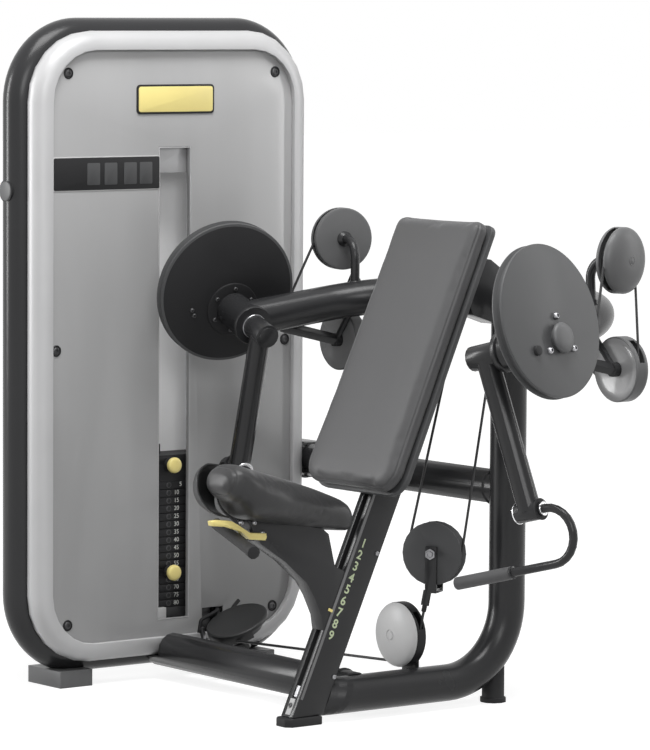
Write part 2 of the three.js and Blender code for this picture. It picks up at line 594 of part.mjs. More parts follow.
const frameCorners = [at(beam.start, 0, beam.mainZ), at(beam.rearX, 0, beam.mainZ),
  at(beam.rearX, 0, beam.top)];
const framePipe = (radius) => pipe(frameCorners, radius, beam.bend, sides.tube, sides.corner);
const crossWidth = horseshoe.startY - horseshoe.spread * (horseshoe.crossX - horseshoe.startX);
const topCorners = [
  at(horseshoe.startX, horseshoe.startY, horseshoe.startZ), at(horseshoe.crossX, crossWidth, crossHeight),
  at(horseshoe.crossX, -crossWidth, crossHeight), at(horseshoe.startX, -horseshoe.startY, horseshoe.startZ),
];
const topPipe = (radius) => pipe(topCorners, radius, horseshoe.bend, sides.tube, sides.corner, at(0, 0, 1));
const housingBody = joined(bar(along(hinge, [inward, housing.near]), along(hinge, [inward, housing.far]),
  housing.radius, sides.wheel),
  bar(along(hinge, [inward, housing.far - housing.ringLength]), along(hinge, [inward, housing.far]),
    housing.ringRadius, sides.wheel));
const housingBore = bar(along(hinge, [inward, housing.near - fit.weld]),
  along(hinge, [inward, housing.far + fit.weld]), stub.shaftRadius + fit.running, sides.wheel);
const upperFoot = at(upper.footX, upper.footY, upper.footZ);
const upperFace = along(rightWheels[1].centre, [rightWheels[1].axis, -upper.coverWidth / 2 - fit.gap]);
const upperElbow = along(upperFace, [rightWheels[1].axis, -upper.elbow]);
const upperArm = joined(pipe([upperFace, upperElbow, upperFoot], upper.armRadius, upper.armBend, sides.bar,
  sides.bend, at(0, 0, 1)),
  bar(upperFace, along(upperFace, [rightWheels[1].axis, -upper.hubLength]), upper.hubRadius));
const lowerHub = at(lower.hubX, lower.y, lower.z);
const lowerArm = cut(joined(
  bar(at(lower.armX, lower.armY, lower.armZ), lowerHub, lower.armHalf * Math.SQRT2, sides.square),
  bar(at(lower.hubX - lower.armHalf, lower.y, lower.z),
    at(lower.x - lower.width / 2 - fit.gap, lower.y, lower.z), lower.hubRadius, sides.bar),
  bar(at(lower.hubX, lower.y, lower.z), at(lower.x + lower.coverWidth / 2 - lower.wall - fit.gap, lower.y,
    lower.z), wheelBore - fit.running, sides.wheel),
  bar(at(lower.strutX, lower.strutY, lower.strutZ), lowerHub, lower.strutRadius, sides.pin)),
    topPipe(horseshoe.radius + fit.gap));
const topTubeBody = joined(topPipe(horseshoe.radius), housingBody, mirrored(housingBody), upperArm,
  mirrored(upperArm));
const topTube = cut(topTubeBody, housingBore, mirrored(housingBore));
const mainFrame = cut(framePipe(beam.radius), postRoom, topPipe(horseshoe.radius + fit.gap));
const beamPipe = (radius) => bar(at(beam.towerX, 0, beam.mainZ + beam.rise),
  at(beam.towerX, tower.y, beam.towerZ), radius,
  sides.tube);
const towerBeam = cut(beamPipe(beam.radius), framePipe(beam.radius + fit.gap),
  loopTube(tower.tubeRadius + fit.gap),
  block([-reach.side, bezel.front, bezelEdge.low - fit.gap], [reach.side, reach.far, reach.side]),
  block([-reach.side, beam.end, 0], [reach.side, reach.far, reach.side]));
const crossBody = joined(bar(at(beam.rearX, 0, crossTube.z),
  at(beam.rearX, crossTube.end + crossTube.overlap, crossTube.z), crossTube.radius, sides.tube),
  block([clampInner, clamp.front, clamp.low], [clampInner + clamp.thickness, clamp.back, clamp.high]));
const crossPipe = cut(crossBody, framePipe(beam.radius + fit.gap), loopTube(tower.tubeRadius + fit.gap));
const rearFootBody = cut(joined(bar(at(rearFoot.x, 0, rearFoot.padTop), at(rearFoot.x, 0, rearFoot.top),
  rearFoot.radius),
  bar(at(rearFoot.x, 0, 0), at(rearFoot.x, 0, rearFoot.padTop + fit.gap), rearFoot.pad)),
    framePipe(beam.radius + fit.gap));
const footOutline = polygon([[postFoot.left, -postFoot.halfWidth + postFoot.edge],
  [postFoot.left + postFoot.edge, -postFoot.halfWidth],
  [postFoot.right, -postFoot.halfWidth], [postFoot.right, postFoot.halfWidth],
    [postFoot.left + postFoot.edge, postFoot.halfWidth],
  [postFoot.left, postFoot.halfWidth - postFoot.edge]]);
const postFootBody = new THREE.ExtrudeGeometry(footOutline, { depth: postFoot.top, bevelEnabled: false });
const headBody = cut(upright(polygon(head.outline), -head.halfWidth, head.halfWidth),
  topPipe(horseshoe.radius + fit.gap), postRoom,
  framePipe(beam.radius + fit.gap));
const headPlate = block([headWheel.plateBack, -headWheel.plateHalf, headWheel.plateLow],
  [headWheel.plateFront, headWheel.plateHalf, headWheel.plateHigh]);
const headPin = (spec) => bar(along(spec.centre, [spec.axis, -headWheel.width / 2]),
  along(spec.centre, [spec.axis, headWheel.pinReach]),
  wheelBore - fit.running, sides.wheel);
const headBracket = joined(headBody, headPlate, headPin(rightWheels[3]), headPin(leftWheels[0]));

// Lever arms
const discBody = (() => {
  const out = inward.clone().negate();
  const near = along(discCentre, [out, -disc.thickness / 2]);
  const t = disc.thickness;
  const plate = turned([[0, 0], [disc.radius - disc.rimEdge, 0], [disc.radius, disc.rimEdge],
    [disc.grooveRadius, t / 2 - disc.grooveHalf], [disc.grooveRadius, t / 2 + disc.grooveHalf],
    [disc.radius, t - disc.rimEdge], [disc.radius - disc.rimEdge, t], [0, t]], near, out, sides.disc);
  const flange = bar(along(hinge, [inward, disc.flangeLength]), along(hinge, [out, fit.weld]),
    disc.flangeRadius, sides.wheel);
  const cap = turned([[0, 0], [disc.capRadius, 0], [disc.capRadius, disc.capLength - disc.capEdge],
    [disc.capRadius - disc.capEdge * share.third, disc.capLength - disc.capEdge * share.third],
      [disc.capRadius - disc.capEdge, disc.capLength], [0, disc.capLength]],
    along(hinge, [out, disc.thickness - fit.weld]), out, sides.wheel);
  const bolts = Array.from({ length: disc.bolts }, (_, k) => {
    const turn = Math.PI * 2 * k / disc.bolts + Math.PI / 2;
    const foot = along(hinge, [out, disc.thickness - fit.weld], [rise, disc.boltCircle * Math.sin(turn)],
      [ahead, disc.boltCircle * Math.cos(turn)]);
    return bar(foot, along(foot, [out, disc.boltLength + fit.weld]), disc.boltRadius, sides.pin);
  });
  return joined(plate, flange, cap, ...bolts);
})();
const leverBody = (() => {
  const axisNear = along(hinge, [inward, disc.flangeLength + fit.gap]);
  const shaft = bar(axisNear, along(hinge, [inward, stub.near + fit.weld]), stub.shaftRadius, sides.wheel);
  const body = bar(along(hinge, [inward, stub.near]), along(hinge, [inward, stub.far]), stub.radius,
    sides.tube);
  const cap = bar(along(hinge, [inward, stub.far - fit.weld]),
    along(hinge, [inward, stub.far + stub.capLength]), stub.capRadius, sides.tube);
  const arm = bar(along(hinge, [inward, lever.station]), socket, lever.radius, sides.tube);
  const tube = bar(along(socket, [inward, -lever.socketHalf]), along(socket, [inward, lever.socketHalf]),
    lever.socketRadius, sides.tube);
  const bore = bar(along(socket, [inward, -lever.socketHalf * 2]),
    along(socket, [inward, lever.socketHalf * 2]), lever.bore, sides.bar);
  return cut(joined(shaft, body, cap, arm, tube), bore);
})();
const plumb = at(0, 0, -1).addScaledVector(inward, inward.z).normalize();
const handleBody = (() => {
  const spot = (out, drop) => along(socket, [inward, -out], [plumb, drop]);
  const rod = pipe([spot(-lever.socketHalf - washer.length, 0), spot(handle.reach + handle.bow, 0),
    spot(handle.reach + handle.bow, handle.drop), spot(handle.gripFar + handle.rodInset, handle.drop)],
    handle.rodRadius, handle.bow - fit.gap, sides.bar, sides.corner, plumb);
  const ring = (near, far) => bar(spot(near, 0), spot(far, 0), washer.radius);
  const collar = bar(spot(handle.collar, handle.drop), spot(handle.gripNear + fit.gap, handle.drop),
    handle.gripRadius);
  return joined(rod, ring(lever.socketHalf + fit.gap, lever.socketHalf + washer.length),
    ring(-lever.socketHalf - fit.gap, -lever.socketHalf - washer.length), collar);
})();
const gripBody = (() => {
  const spot = (out) => along(socket, [inward, -out], [plumb, handle.drop]);
  const sleeve = bar(spot(handle.gripNear), spot(handle.gripFar), handle.gripRadius, sides.tube);
  return cut(sleeve, bar(spot(handle.gripNear + handle.gripOverlap),
    spot(handle.gripFar + handle.rodInset - fit.gap),
    handle.rodRadius + fit.gap * 3, sides.bar));
})();

// Pulleys
const upperCover = cut(drum(rightWheels[1].centre, rightWheels[1].axis, upper, false), armRoom);
const lowerCover = cut(drum(rightWheels[2].centre, rightWheels[2].axis.clone().negate(), lower, true), armRoom,
  thread(armStations, fit.slot, sides.cable));
const baseCover = cut(drum(baseWheel.centre, baseWheel.axis.clone().negate(), base, true),
  thread(stackStations, fit.slot, sides.cable));

// A box laid out in the floating wheel's own directions: across it, through it and up
const floatAcross = at(0, 0, 1).cross(floatWheel.axis).normalize();
function floatBox(across, near, far, low, high) {
  const box = new THREE.BoxGeometry(across * 2, far - near, high - low).translate(0, (near + far) / 2,
    (low + high) / 2);
  const basis = new THREE.Matrix4().makeBasis(floatAcross.clone(), at(0, 0, 1).cross(floatAcross), at(0, 0, 1));
  return box.applyMatrix4(basis.setPosition(at(floating.x, 0, 0)));
}
const strapNear = floating.width / 2 + strap.side;
const strapFar = strapNear + strap.thickness;
const floatingFork = joined(
  floatBox(strap.halfWidth, strapNear, strapFar, strap.low - strap.thickness, floating.z + strap.cap),
  floatBox(strap.halfWidth, -strapFar, -strapNear, strap.low - strap.thickness, floating.z + strap.cap),
  floatBox(strap.halfWidth - fit.tiny, -strapFar + fit.tiny, strapFar - fit.tiny,
    strap.low - strap.thickness * 2, strap.low),
  bar(along(floatWheel.centre, [floatWheel.axis, -strapFar + fit.tiny]),
    along(floatWheel.centre, [floatWheel.axis, strapFar - fit.tiny]), wheelBore - fit.running, sides.wheel),
  bar(along(floatWheel.centre, [floatWheel.axis, -strapFar - strap.capLength]),
    along(floatWheel.centre, [floatWheel.axis, -strapNear - fit.tiny]), strap.capRadius, sides.pin),
  bar(along(floatWheel.centre, [floatWheel.axis, strapNear + fit.tiny]),
    along(floatWheel.centre, [floatWheel.axis, strapFar + strap.capLength]), strap.capRadius, sides.pin),
  bar(along(ferruleTop, [slideWay, (strap.low - strap.thickness - strap.ferruleLow) / slideWay.z]),
    along(ferruleTop, [slideWay, fit.weld]), strap.ferrule, sides.pin));
const baseBracket = cut(joined(
  block([base.plateNear, base.plateLeft, base.plateLow], [base.plateFar, base.plateRight, base.plateHigh]),
  bar(at(base.plateFar, base.y, base.z), at(base.x - base.coverWidth / 2 + base.wall + fit.gap, base.y,
    base.z), wheelBore - fit.running, sides.wheel)),
  framePipe(beam.radius + fit.gap));
const puckFoot = along(puckWheel.centre, [puckAxis, puck.hub]);
const puckBracket = cut(joined(
  bar(at(beam.towerX, puck.y, puck.armLow), puckFoot, puck.armRadius, sides.pin),
  bar(along(puckFoot, [puckAxis, puck.capWidth]), along(puckWheel.centre,
    [puckAxis, puck.width / 2 + fit.gap]), puck.hubRadius, sides.pin),
  bar(puckFoot, along(puckWheel.centre, [puckAxis, -puck.width / 2]), wheelBore - fit.running, sides.wheel)),
  beamPipe(beam.radius + fit.gap), stackRoom);

// Soft forms: rings of points closed at both ends
function lofted(rings) {
  const count = rings[0].length;
  const positions = rings.flat().flatMap((point) => point.toArray());
  const faces = [];
  for (let r = 0; r < rings.length - 1; r += 1) {
    for (let k = 0; k < count; k += 1) {
      const n = (k + 1) % count;
      faces.push(r * count + k, r * count + n, (r + 1) * count + n, r * count + k, (r + 1) * count + n,
        (r + 1) * count + k);
    }
  }
  for (const ring of [rings[0], rings[rings.length - 1]]) {
    const middle = ring.reduce((sum, point) => sum.add(point), at(0, 0, 0)).divideScalar(count);
    const start = ring === rings[0] ? 0 : (rings.length - 1) * count;
    const tip = positions.length / 3;
    positions.push(...middle.toArray());
    for (let k = 0; k < count; k += 1) {
      const n = (k + 1) % count;
      faces.push(...(ring === rings[0] ? [tip, start + n, start + k] : [tip, start + k, start + n]));
    }
  }
  const geometry = new THREE.BufferGeometry();
  geometry.setAttribute('position', new THREE.Float32BufferAttribute(positions, 3));
  geometry.setIndex(faces);
  return geometry;
}

const restUp = unit(rest.slope, 0, 1);
const restOut = unit(-1, 0, rest.slope);
const restLength = (rest.high - rest.low) / restUp.z;
const restFoot = at(rest.faceX + rest.slope * (rest.low - rest.faceZ), 0, rest.low);
// One ring of the backrest: how far in from its edge, and how deep behind its face
function restRing(inset, depth) {
  const points = [];
  const corner = (half, up, radius, from) => {
    const r = Math.max(radius - inset, fit.tiny);
    for (let k = 0; k <= sides.corner; k += 1) {
      const turn = from + Math.PI / 2 * k / sides.corner;
      points.push([half - inset - r + r * Math.cos(turn), up + r * Math.sin(turn), r]);
    }
  };
  const place = (x, y) => along(restFoot, [at(0, 1, 0), x], [restUp, y], [restOut, -depth]);
  corner(rest.bottomHalf, 0, rest.bottomCorner, -Math.PI / 2);
  corner(rest.topHalf, 0, rest.topCorner, 0);
  const right = points.map(([x, y, r], k) => [Math.max(x, fit.tiny),
    k <= sides.corner ? inset + r + y : restLength - inset - r + y]);
  const left = right.map(([x, y]) => [-x, y]).reverse();
  return [...right, ...left].map(([x, y]) => place(x, y));
}
const crownAt = (inset) => rest.crown * (1 - Math.min(inset / rest.crownReach, 1)) ** 2;
const padRings = [
  [rest.backInset, rest.padThickness - fit.gap], [rest.backEase, rest.padThickness - fit.gap - rest.backEase],
  [0, rest.padThickness * share.padMiddle], [0, rest.crown + rest.edge],
  ...rest.easeInsets.map((inset, k) => [inset, rest.crown + rest.edge * share.padEase[k]]),
  [rest.edge, rest.crown * share.padEdge], ...rest.crownInsets.map((inset) => [inset, crownAt(inset)]),
];
const padBody = lofted(padRings.map(([inset, depth]) => restRing(inset, depth)));
const boardDeep = rest.padThickness + rest.boardThickness;
const boardPlate = lofted([restRing(rest.boardInset, boardDeep), restRing(rest.boardInset, rest.padThickness)]);
const mountBlock = (up) => {
  const box = new THREE.BoxGeometry(post.width, rest.mountDepth * 2, rest.mountLength);
  const basis = new THREE.Matrix4().makeBasis(at(0, 1, 0), restOut.clone(), restUp.clone());
  return box.applyMatrix4(basis.setPosition(along(restFoot, [restUp, up],
    [restOut, -boardDeep - rest.mountDepth + fit.weld])));
};
const boardBody = cut(joined(boardPlate, mountBlock(rest.mountLow), mountBlock(rest.mountHigh)), postRoom);

const seatRings = seatStations.map(([x, high, low, half]) => Array.from({ length: seatSection.points },
  (_, k) => {
  const turn = 2 * Math.PI * k / seatSection.points;
  const curve = (value) => Math.sign(value) * Math.abs(value) ** (2 / seatSection.power);
  return at(x, half * curve(Math.cos(turn)), (high + low) / 2 + (high - low) / 2 * curve(Math.sin(turn)));
}));
const seatBody = lofted(seatRings);
const carriageBody = cut(upright(polygon(carriage.outline), -carriage.halfWidth, carriage.halfWidth),
  bodyAlongPost(-post.spare, post.high, post.width + carriage.clearance * 2, post.depth * 3,
    carriage.clearance),
  seatBody.clone().translate(0, 0, -fit.gap));
const leverBlade = joined(upright(polygon(releaseLever.outline), releaseLever.near, releaseLever.far),
  bar(at(releaseLever.bossX, releaseLever.near, releaseLever.bossZ),
    at(releaseLever.bossX, -carriage.halfWidth - fit.gap, releaseLever.bossZ), releaseLever.bossRadius));
const seatGrip = cut(joined(bar(at(...seatHandle.armFrom), at(...seatHandle.armTo), seatHandle.armRadius),
  bar(at(...seatHandle.from), at(...seatHandle.to), seatHandle.radius),
  bar(along(at(...seatHandle.to), [at(...seatHandle.from).sub(at(...seatHandle.to)).normalize(),
    seatHandle.capLength]), at(...seatHandle.to), seatHandle.capRadius)),
  upright(polygon(carriage.outline), -carriage.halfWidth - fit.gap, carriage.halfWidth));

// The whole machine
const whole = new THREE.Group();
function add(name, geometry, coat) {
  const mesh = new THREE.Mesh(clean(geometry), new THREE.MeshStandardMaterial(paint[coat]));
  mesh.name = name;
  whole.add(mesh);
}
const pair = (name, geometry, coat) => {
  add(`${name}_right`, geometry, coat);
  add(`${name}_left`, mirrored(geometry), coat);
};

add('tower_frame', towerFrame, 'frame');
add('tower_bezel', towerBezel, 'silver');
add('tower_panel', towerPanel, 'panel');
add('stack_channel', stackChannel, 'silver');
add('tower_rear_cover', rearCover, 'pale');
add('tower_foot_front', towerFoot(-1), 'rubber');
add('tower_foot_rear', towerFoot(1), 'rubber');
add('guide_rod_front', guideRod(-1), 'chrome');
add('guide_rod_rear', guideRod(1), 'chrome');
add('weight_plates_lifted', platesLifted, 'iron');
add('weight_plates_resting', platesResting, 'iron');
add('selector_stem', selectorStem, 'iron');
add('selector_pin', knob(pin.stackZ, pin.tip), 'yellow');
add('increment_knob', knob(pin.headZ, pin.headTip), 'yellow');
add('tower_beam', towerBeam, 'frame');
add('main_frame', mainFrame, 'frame');
add('cross_tube', crossPipe, 'frame');
add('post', postBody, 'frame');
add('post_foot', postFootBody, 'rubber');
add('rear_foot', rearFootBody, 'rubber');
add('top_tube', topTube, 'frame');
add('head_bracket', headBracket, 'frame');
add('pad_board', boardBody, 'dark');
add('pad', padBody, 'vinyl');
add('seat_pad', seatBody, 'vinyl');
add('seat_carriage', carriageBody, 'frame');
add('release_lever', leverBlade, 'yellow');
add('seat_handle', seatGrip, 'rubber');
pair('cam_disc', discBody, 'dark');
pair('lever_arm', leverBody, 'frame');
pair('handle_rod', handleBody, 'frame');
pair('grip', gripBody, 'rubber');
pair('upper_pulley_cover', upperCover, 'dark');
pair('upper_wheel', pulley(rightWheels[1], upper.width), 'dark');
pair('lower_pulley_arm', lowerArm, 'frame');
pair('lower_pulley_cover', lowerCover, 'dark');
pair('lower_wheel', pulley(rightWheels[2], lower.width), 'dark');
pair('head_wheel', pulley(rightWheels[3], headWheel.width), 'dark');
add('floating_fork', floatingFork, 'iron');
add('floating_wheel', pulley(floatWheel, floating.width, floating.rim, floating.rim), 'dark');
add('base_pulley_cover', baseCover, 'pale');
add('base_wheel', pulley(baseWheel, base.width), 'dark');
add('base_bracket', baseBracket, 'frame');
add('puck_bracket', puckBracket, 'frame');
add('puck_wheel', pulley(puckWheel, puck.width, 0, puck.rim), 'dark');
add('turner_wheel', pulley(turnerWheel, turner.width), 'dark');
add('tower_wheel', pulley(topWheel, top.width), 'dark');
add('arm_cable', armCable, 'iron');
add('stack_cable', stackCable, 'iron');

// Origin: middle of the whole machine's outline on the floor
const bounds = new THREE.Box3().setFromObject(whole);
const middle = bounds.getCenter(at(0, 0, 0));
for (const mesh of whole.children) mesh.geometry.translate(-middle.x, -middle.y, -bounds.min.z);

export default whole;
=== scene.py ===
# %% [markdown]
# # Arm curl machine
# A gym machine with a weight tower, a welded tube frame, two lever arms on cam discs, a backrest and a
# sliding seat. The CAD model is loaded first as a fixed frame: it gives the size and the moving bodies.
# Everything in this lesson is then dressed over that frame, so nothing has to be fitted by eye.

# %% Load the CAD model
import json
import math
import bpy
from mathutils import Matrix, Vector


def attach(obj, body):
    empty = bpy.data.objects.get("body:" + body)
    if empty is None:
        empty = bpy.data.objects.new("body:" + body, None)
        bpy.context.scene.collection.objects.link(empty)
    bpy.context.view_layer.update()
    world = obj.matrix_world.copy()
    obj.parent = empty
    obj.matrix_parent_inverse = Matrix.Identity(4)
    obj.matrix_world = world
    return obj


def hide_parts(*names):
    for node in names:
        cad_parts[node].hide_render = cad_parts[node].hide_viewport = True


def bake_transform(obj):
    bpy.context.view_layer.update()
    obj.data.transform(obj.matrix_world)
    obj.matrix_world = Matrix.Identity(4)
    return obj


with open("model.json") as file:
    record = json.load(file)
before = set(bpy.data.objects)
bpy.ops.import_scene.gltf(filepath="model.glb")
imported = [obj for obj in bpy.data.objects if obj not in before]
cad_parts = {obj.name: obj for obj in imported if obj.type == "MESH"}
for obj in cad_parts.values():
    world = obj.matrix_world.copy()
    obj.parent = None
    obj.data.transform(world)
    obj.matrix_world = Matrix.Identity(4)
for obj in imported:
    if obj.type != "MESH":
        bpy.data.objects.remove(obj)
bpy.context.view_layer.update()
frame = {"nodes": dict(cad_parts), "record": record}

# %% [markdown]
# The machine's own measures are in millimetres from the middle of the tower on the floor. The frame's
# origin is the middle of the whole outline instead, so one small helper turns the first into the second.
# Two more give the matrix of a thing that is turned and placed.

# %% Places on the machine
mm = 0.001
tower_middle = Vector((-18.249, -99.838, 0.0))


def spot(x, y, z):
    """A place given in the machine's millimetres, as a point of the frame in metres."""
    return (Vector((x, y, z)) + tower_middle) * mm


def laid(x_way, y_way, z_way, place):
    """Lays the three axes along three ways, with the origin at a place."""
    return Matrix.Translation(place) @ Matrix((x_way, y_way, z_way)).transposed().to_4x4()


def aimed(place, axis):
    """Points the Z axis along a way, with the origin at a place."""
    return Matrix.Translation(Vector(place)) @ Vector(axis).to_track_quat("Z", "Y").to_matrix().to_4x4()


print("Middle of the tower:", spot(0, 0, 0))

# %% [markdown]
# The camera stands where the photographer stood: to the user's left and front, a little above the seat,
# with a long lens. Its three directions come from the vanishing lines of the tower and the frame.

# %% Camera
camera_place = Vector((-5.77465, -7.43484, 1.535))
turn, dip, roll = math.radians(37.67), math.radians(4.95), math.radians(0.37)
look = Vector((math.sin(turn) * math.cos(dip), math.cos(turn) * math.cos(dip), -math.sin(dip)))
level = Vector((math.cos(turn), -math.sin(turn), 0))
upward = level.cross(look)
camera_right = level * math.cos(roll) + upward * math.sin(roll)
camera_up = upward * math.cos(roll) - level * math.sin(roll)

bpy.ops.object.camera_add(location=camera_place)
camera = bpy.context.object
camera.name = "photo_camera"
camera.matrix_world = laid(camera_right, camera_up, -look, camera_place)
camera.data.sensor_fit = "VERTICAL"
camera.data.sensor_height = 36
camera.data.lens = 213.65
camera.data.clip_end = 200
bpy.context.scene.camera = camera
bpy.context.scene.view_settings.view_transform = "Standard"
print("Lens in millimetres:", camera.data.lens)

# %% [markdown]
# A studio shot is lit by big soft lamps. One large lamp hangs overhead, a second fills from the camera's
# side, and two tall strips to the left and right draw long soft lines of light down the tubes.

# %% Lamps
def soft_lamp(name, place, aim, width, height, power):
    bpy.ops.object.light_add(type="AREA", location=place)
    lamp = bpy.context.object
    lamp.name = name
    lamp.data.shape = "RECTANGLE"
    lamp.data.size, lamp.data.size_y = width, height
    lamp.data.energy = power
    lamp.rotation_euler = (Vector(aim) - Vector(place)).to_track_quat("-Z", "Y").to_euler()


soft_lamp("overhead_lamp", (-0.6, -0.9, 4.2), (0, 0, 0.4), 2.4, 1.7, 150)
soft_lamp("left_strip", (-3.7, 3.2, 1.8), (-0.2, 0.3, 0.8), 0.8, 2.6, 130)
soft_lamp("front_fill", (-2.6, -4.4, 2.8), (0, 0, 0.7), 2.2, 1.8, 84)
soft_lamp("right_strip", (3.6, -1.6, 1.8), (0, 0, 0.8), 0.4, 2.4, 26)

# %% [markdown]
# A material is a net of nodes. One helper adds a node with what feeds it, and one net is needed twice: it
# tells the rays that are seen from those that only bring light.

# %% Adding shader nodes
def added(tree, kind, feeds, values=None, operation=None):
    """Adds a shader node: what feeds its sockets, and the values of those that nothing feeds."""
    node = tree.nodes.new("ShaderNode" + kind)
    if operation:
        node.operation = operation
    for socket, value in (values or {}).items():
        node.inputs[socket].default_value = value
    for socket, source in feeds.items():
        tree.links.new(source, node.inputs[socket])
    return node


def seen_rays(tree):
    """1 for rays from the camera, in reflections and through glass, 0 for rays that only bring light."""
    rays = added(tree, "LightPath", {}).outputs
    seen = added(tree, "Math", {0: rays["Is Camera Ray"], 1: rays["Is Glossy Ray"]}, operation="MAXIMUM")
    seen = added(tree, "Math", {0: seen.outputs[0], 1: rays["Is Transmission Ray"]}, operation="MAXIMUM")
    return seen.outputs[0]


print("Node helpers are ready")

# %% [markdown]
# The background is plain white. The world is white to the camera and in reflections, and dimmer as a
# lamp, so it doesn't wash the object out.

# %% Backdrop
world = bpy.data.worlds.new("white_studio")
world.use_nodes = True
bpy.context.scene.world = world
room = world.node_tree
backdrop_level = added(room, "MapRange", {"Value": seen_rays(room)}, {"To Min": 0.16, "To Max": 1.0})
room.links.new(backdrop_level.outputs["Result"], room.nodes["Background"].inputs["Strength"])
room.nodes["Background"].inputs["Color"].default_value = (1, 1, 1, 1)
print("World:", world.name)

# %% [markdown]
# The floor is a grey that takes the soft shadow, and it glows white for the seen rays only. It glows a
# little less under the machine than far away, which hides the line where the floor ends.

# %% Floor
bpy.ops.object.select_all(action="DESELECT")
bpy.ops.mesh.primitive_plane_add(size=60, location=(0, 0, -0.5 * mm))
floor = bpy.context.object
floor.name = "studio_floor"
floor_paint = bpy.data.materials.new("studio_floor_white")
floor_paint.use_nodes = True
floor_tree = floor_paint.node_tree
floor_shader = floor_tree.nodes["Principled BSDF"].inputs
floor_shader["Base Color"].default_value = (0.35, 0.35, 0.35, 1)
floor_shader["Roughness"].default_value = 0.9
floor_shader["Specular IOR Level"].default_value = 0.0
floor_shader["Emission Color"].default_value = (1, 1, 1, 1)
floor_place = added(floor_tree, "TexCoord", {})
distance = added(floor_tree, "VectorMath", {0: floor_place.outputs["Object"]}, operation="LENGTH")
glow_level = added(floor_tree, "MapRange", {"Value": distance.outputs["Value"]},
                   {"From Min": 1.2, "From Max": 3.5, "To Min": 0.84, "To Max": 1.0})
floor_glow = added(floor_tree, "MapRange",
                   {"Value": seen_rays(floor_tree), "To Max": glow_level.outputs["Result"]})
floor_tree.links.new(floor_glow.outputs["Result"], floor_shader["Emission Strength"])
floor.data.materials.append(floor_paint)
print("Floor:", floor.name)

# %% [markdown]
# Almost every surface here is sprayed, moulded or rolled, and none is perfectly even. One recipe serves
# them all: a slow cloud changes the colour and the gloss a little, and a fine grain lifts the surface.
# What differs is the size of the grain and how far each goes.

# %% The recipe for a finish
cloud_low, cloud_high = 0.3, 0.7


def finish(name, colour, roughness, metallic=0.0, grain=900.0, relief=0.08, cloud=7.0, spread=0.1,
           uneven=0.06, coat=0.0, stretch=(1, 1, 1), shine=0.3):
    """A finish with cloudy colour, uneven gloss and a fine raised grain."""
    paint = bpy.data.materials.new(name)
    paint.use_nodes = True
    tree = paint.node_tree
    shader = tree.nodes["Principled BSDF"].inputs
    shader["Metallic"].default_value = metallic
    shader["Specular IOR Level"].default_value = shine
    if coat:
        shader["Coat Weight"].default_value = coat
        shader["Coat Roughness"].default_value = 0.08
    where = added(tree, "TexCoord", {})
    drawn = added(tree, "Mapping", {"Vector": where.outputs["Object"]}, {"Scale": stretch})
    clouds = added(tree, "TexNoise", {"Vector": drawn.outputs["Vector"]}, {"Scale": cloud, "Detail": 6})
    tones = added(tree, "ValToRGB", {"Fac": clouds.outputs["Fac"]})
    ramp = tones.color_ramp.elements
    ramp[0].position, ramp[1].position = cloud_low, cloud_high
    ramp[0].color = (*[c * (1 - spread) for c in colour], 1)
    ramp[1].color = (*[c * (1 + spread) for c in colour], 1)
    gloss = added(tree, "MapRange", {"Value": clouds.outputs["Fac"]},
                  {"From Min": cloud_low, "From Max": cloud_high,
                   "To Min": roughness - uneven, "To Max": roughness + uneven})
    fine = added(tree, "TexNoise", {"Vector": drawn.outputs["Vector"]}, {"Scale": grain, "Detail": 3})
    raised = added(tree, "Bump", {"Height": fine.outputs["Fac"]}, {"Strength": relief, "Distance": 0.6 * mm})
    tree.links.new(tones.outputs["Color"], shader["Base Color"])
    tree.links.new(gloss.outputs["Result"], shader["Roughness"])
    tree.links.new(raised.outputs["Normal"], shader["Normal"])
    return paint


print("The recipe is ready")

# %% [markdown]
# The machine needs satin powder coat on its tubes, silver lacquer, plastics from pale to near black, rubber,
# steel from polished to dark, painted iron, one yellow for all that the hand moves, and a cable sleeve.

# %% Finishes of the machine
charcoal_coat = finish("charcoal_powder_coat", (0.026, 0.0262, 0.0275), 0.26, relief=0.06, spread=0.03,
                       uneven=0.015, shine=0.25)
satin_silver = finish("satin_silver_lacquer", (0.53, 0.53, 0.535), 0.42, metallic=0.15, grain=1500,
                      spread=0.03)
moulded_dark = finish("moulded_dark_plastic", (0.066, 0.067, 0.069), 0.46, grain=1400, relief=0.15,
                      spread=0.06)
moulded_grey = finish("moulded_grey_plastic", (0.122, 0.123, 0.125), 0.4, grain=1400, relief=0.12,
                      spread=0.06)
moulded_pale = finish("moulded_pale_plastic", (0.5, 0.5, 0.5), 0.42, grain=1400, relief=0.1, spread=0.05)
near_black = finish("near_black_plastic", (0.016, 0.016, 0.017), 0.5, grain=1400, relief=0.12,
                    spread=0.08, shine=0.2)
black_rubber = finish("black_rubber", (0.03, 0.03, 0.031), 0.62, grain=1100, relief=0.3, spread=0.15,
                      shine=0.2)
grip_rubber = finish("grip_rubber", (0.1, 0.1, 0.102), 0.55, grain=1300, relief=0.3, spread=0.1)
polished_steel = finish("polished_steel", (0.74, 0.74, 0.75), 0.14, metallic=1.0, grain=400,
                        relief=0.02, spread=0.04, uneven=0.05)
dull_steel = finish("dull_steel", (0.3, 0.3, 0.31), 0.34, metallic=1.0, grain=700, relief=0.06)
dark_steel = finish("dark_steel", (0.07, 0.07, 0.072), 0.4, metallic=0.8, grain=700, relief=0.06)
black_iron = finish("black_painted_iron", (0.014, 0.014, 0.015), 0.45, grain=500, relief=0.3, spread=0.2,
                    shine=0.25)
yellow_moulding = finish("yellow_moulding", (0.93, 0.79, 0.3), 0.36, grain=1200, relief=0.05, spread=0.05)
cable_sleeve = finish("cable_sleeve", (0.028, 0.028, 0.029), 0.4, grain=600, relief=0.15)
print("Finishes:", [paint.name for paint in bpy.data.materials])
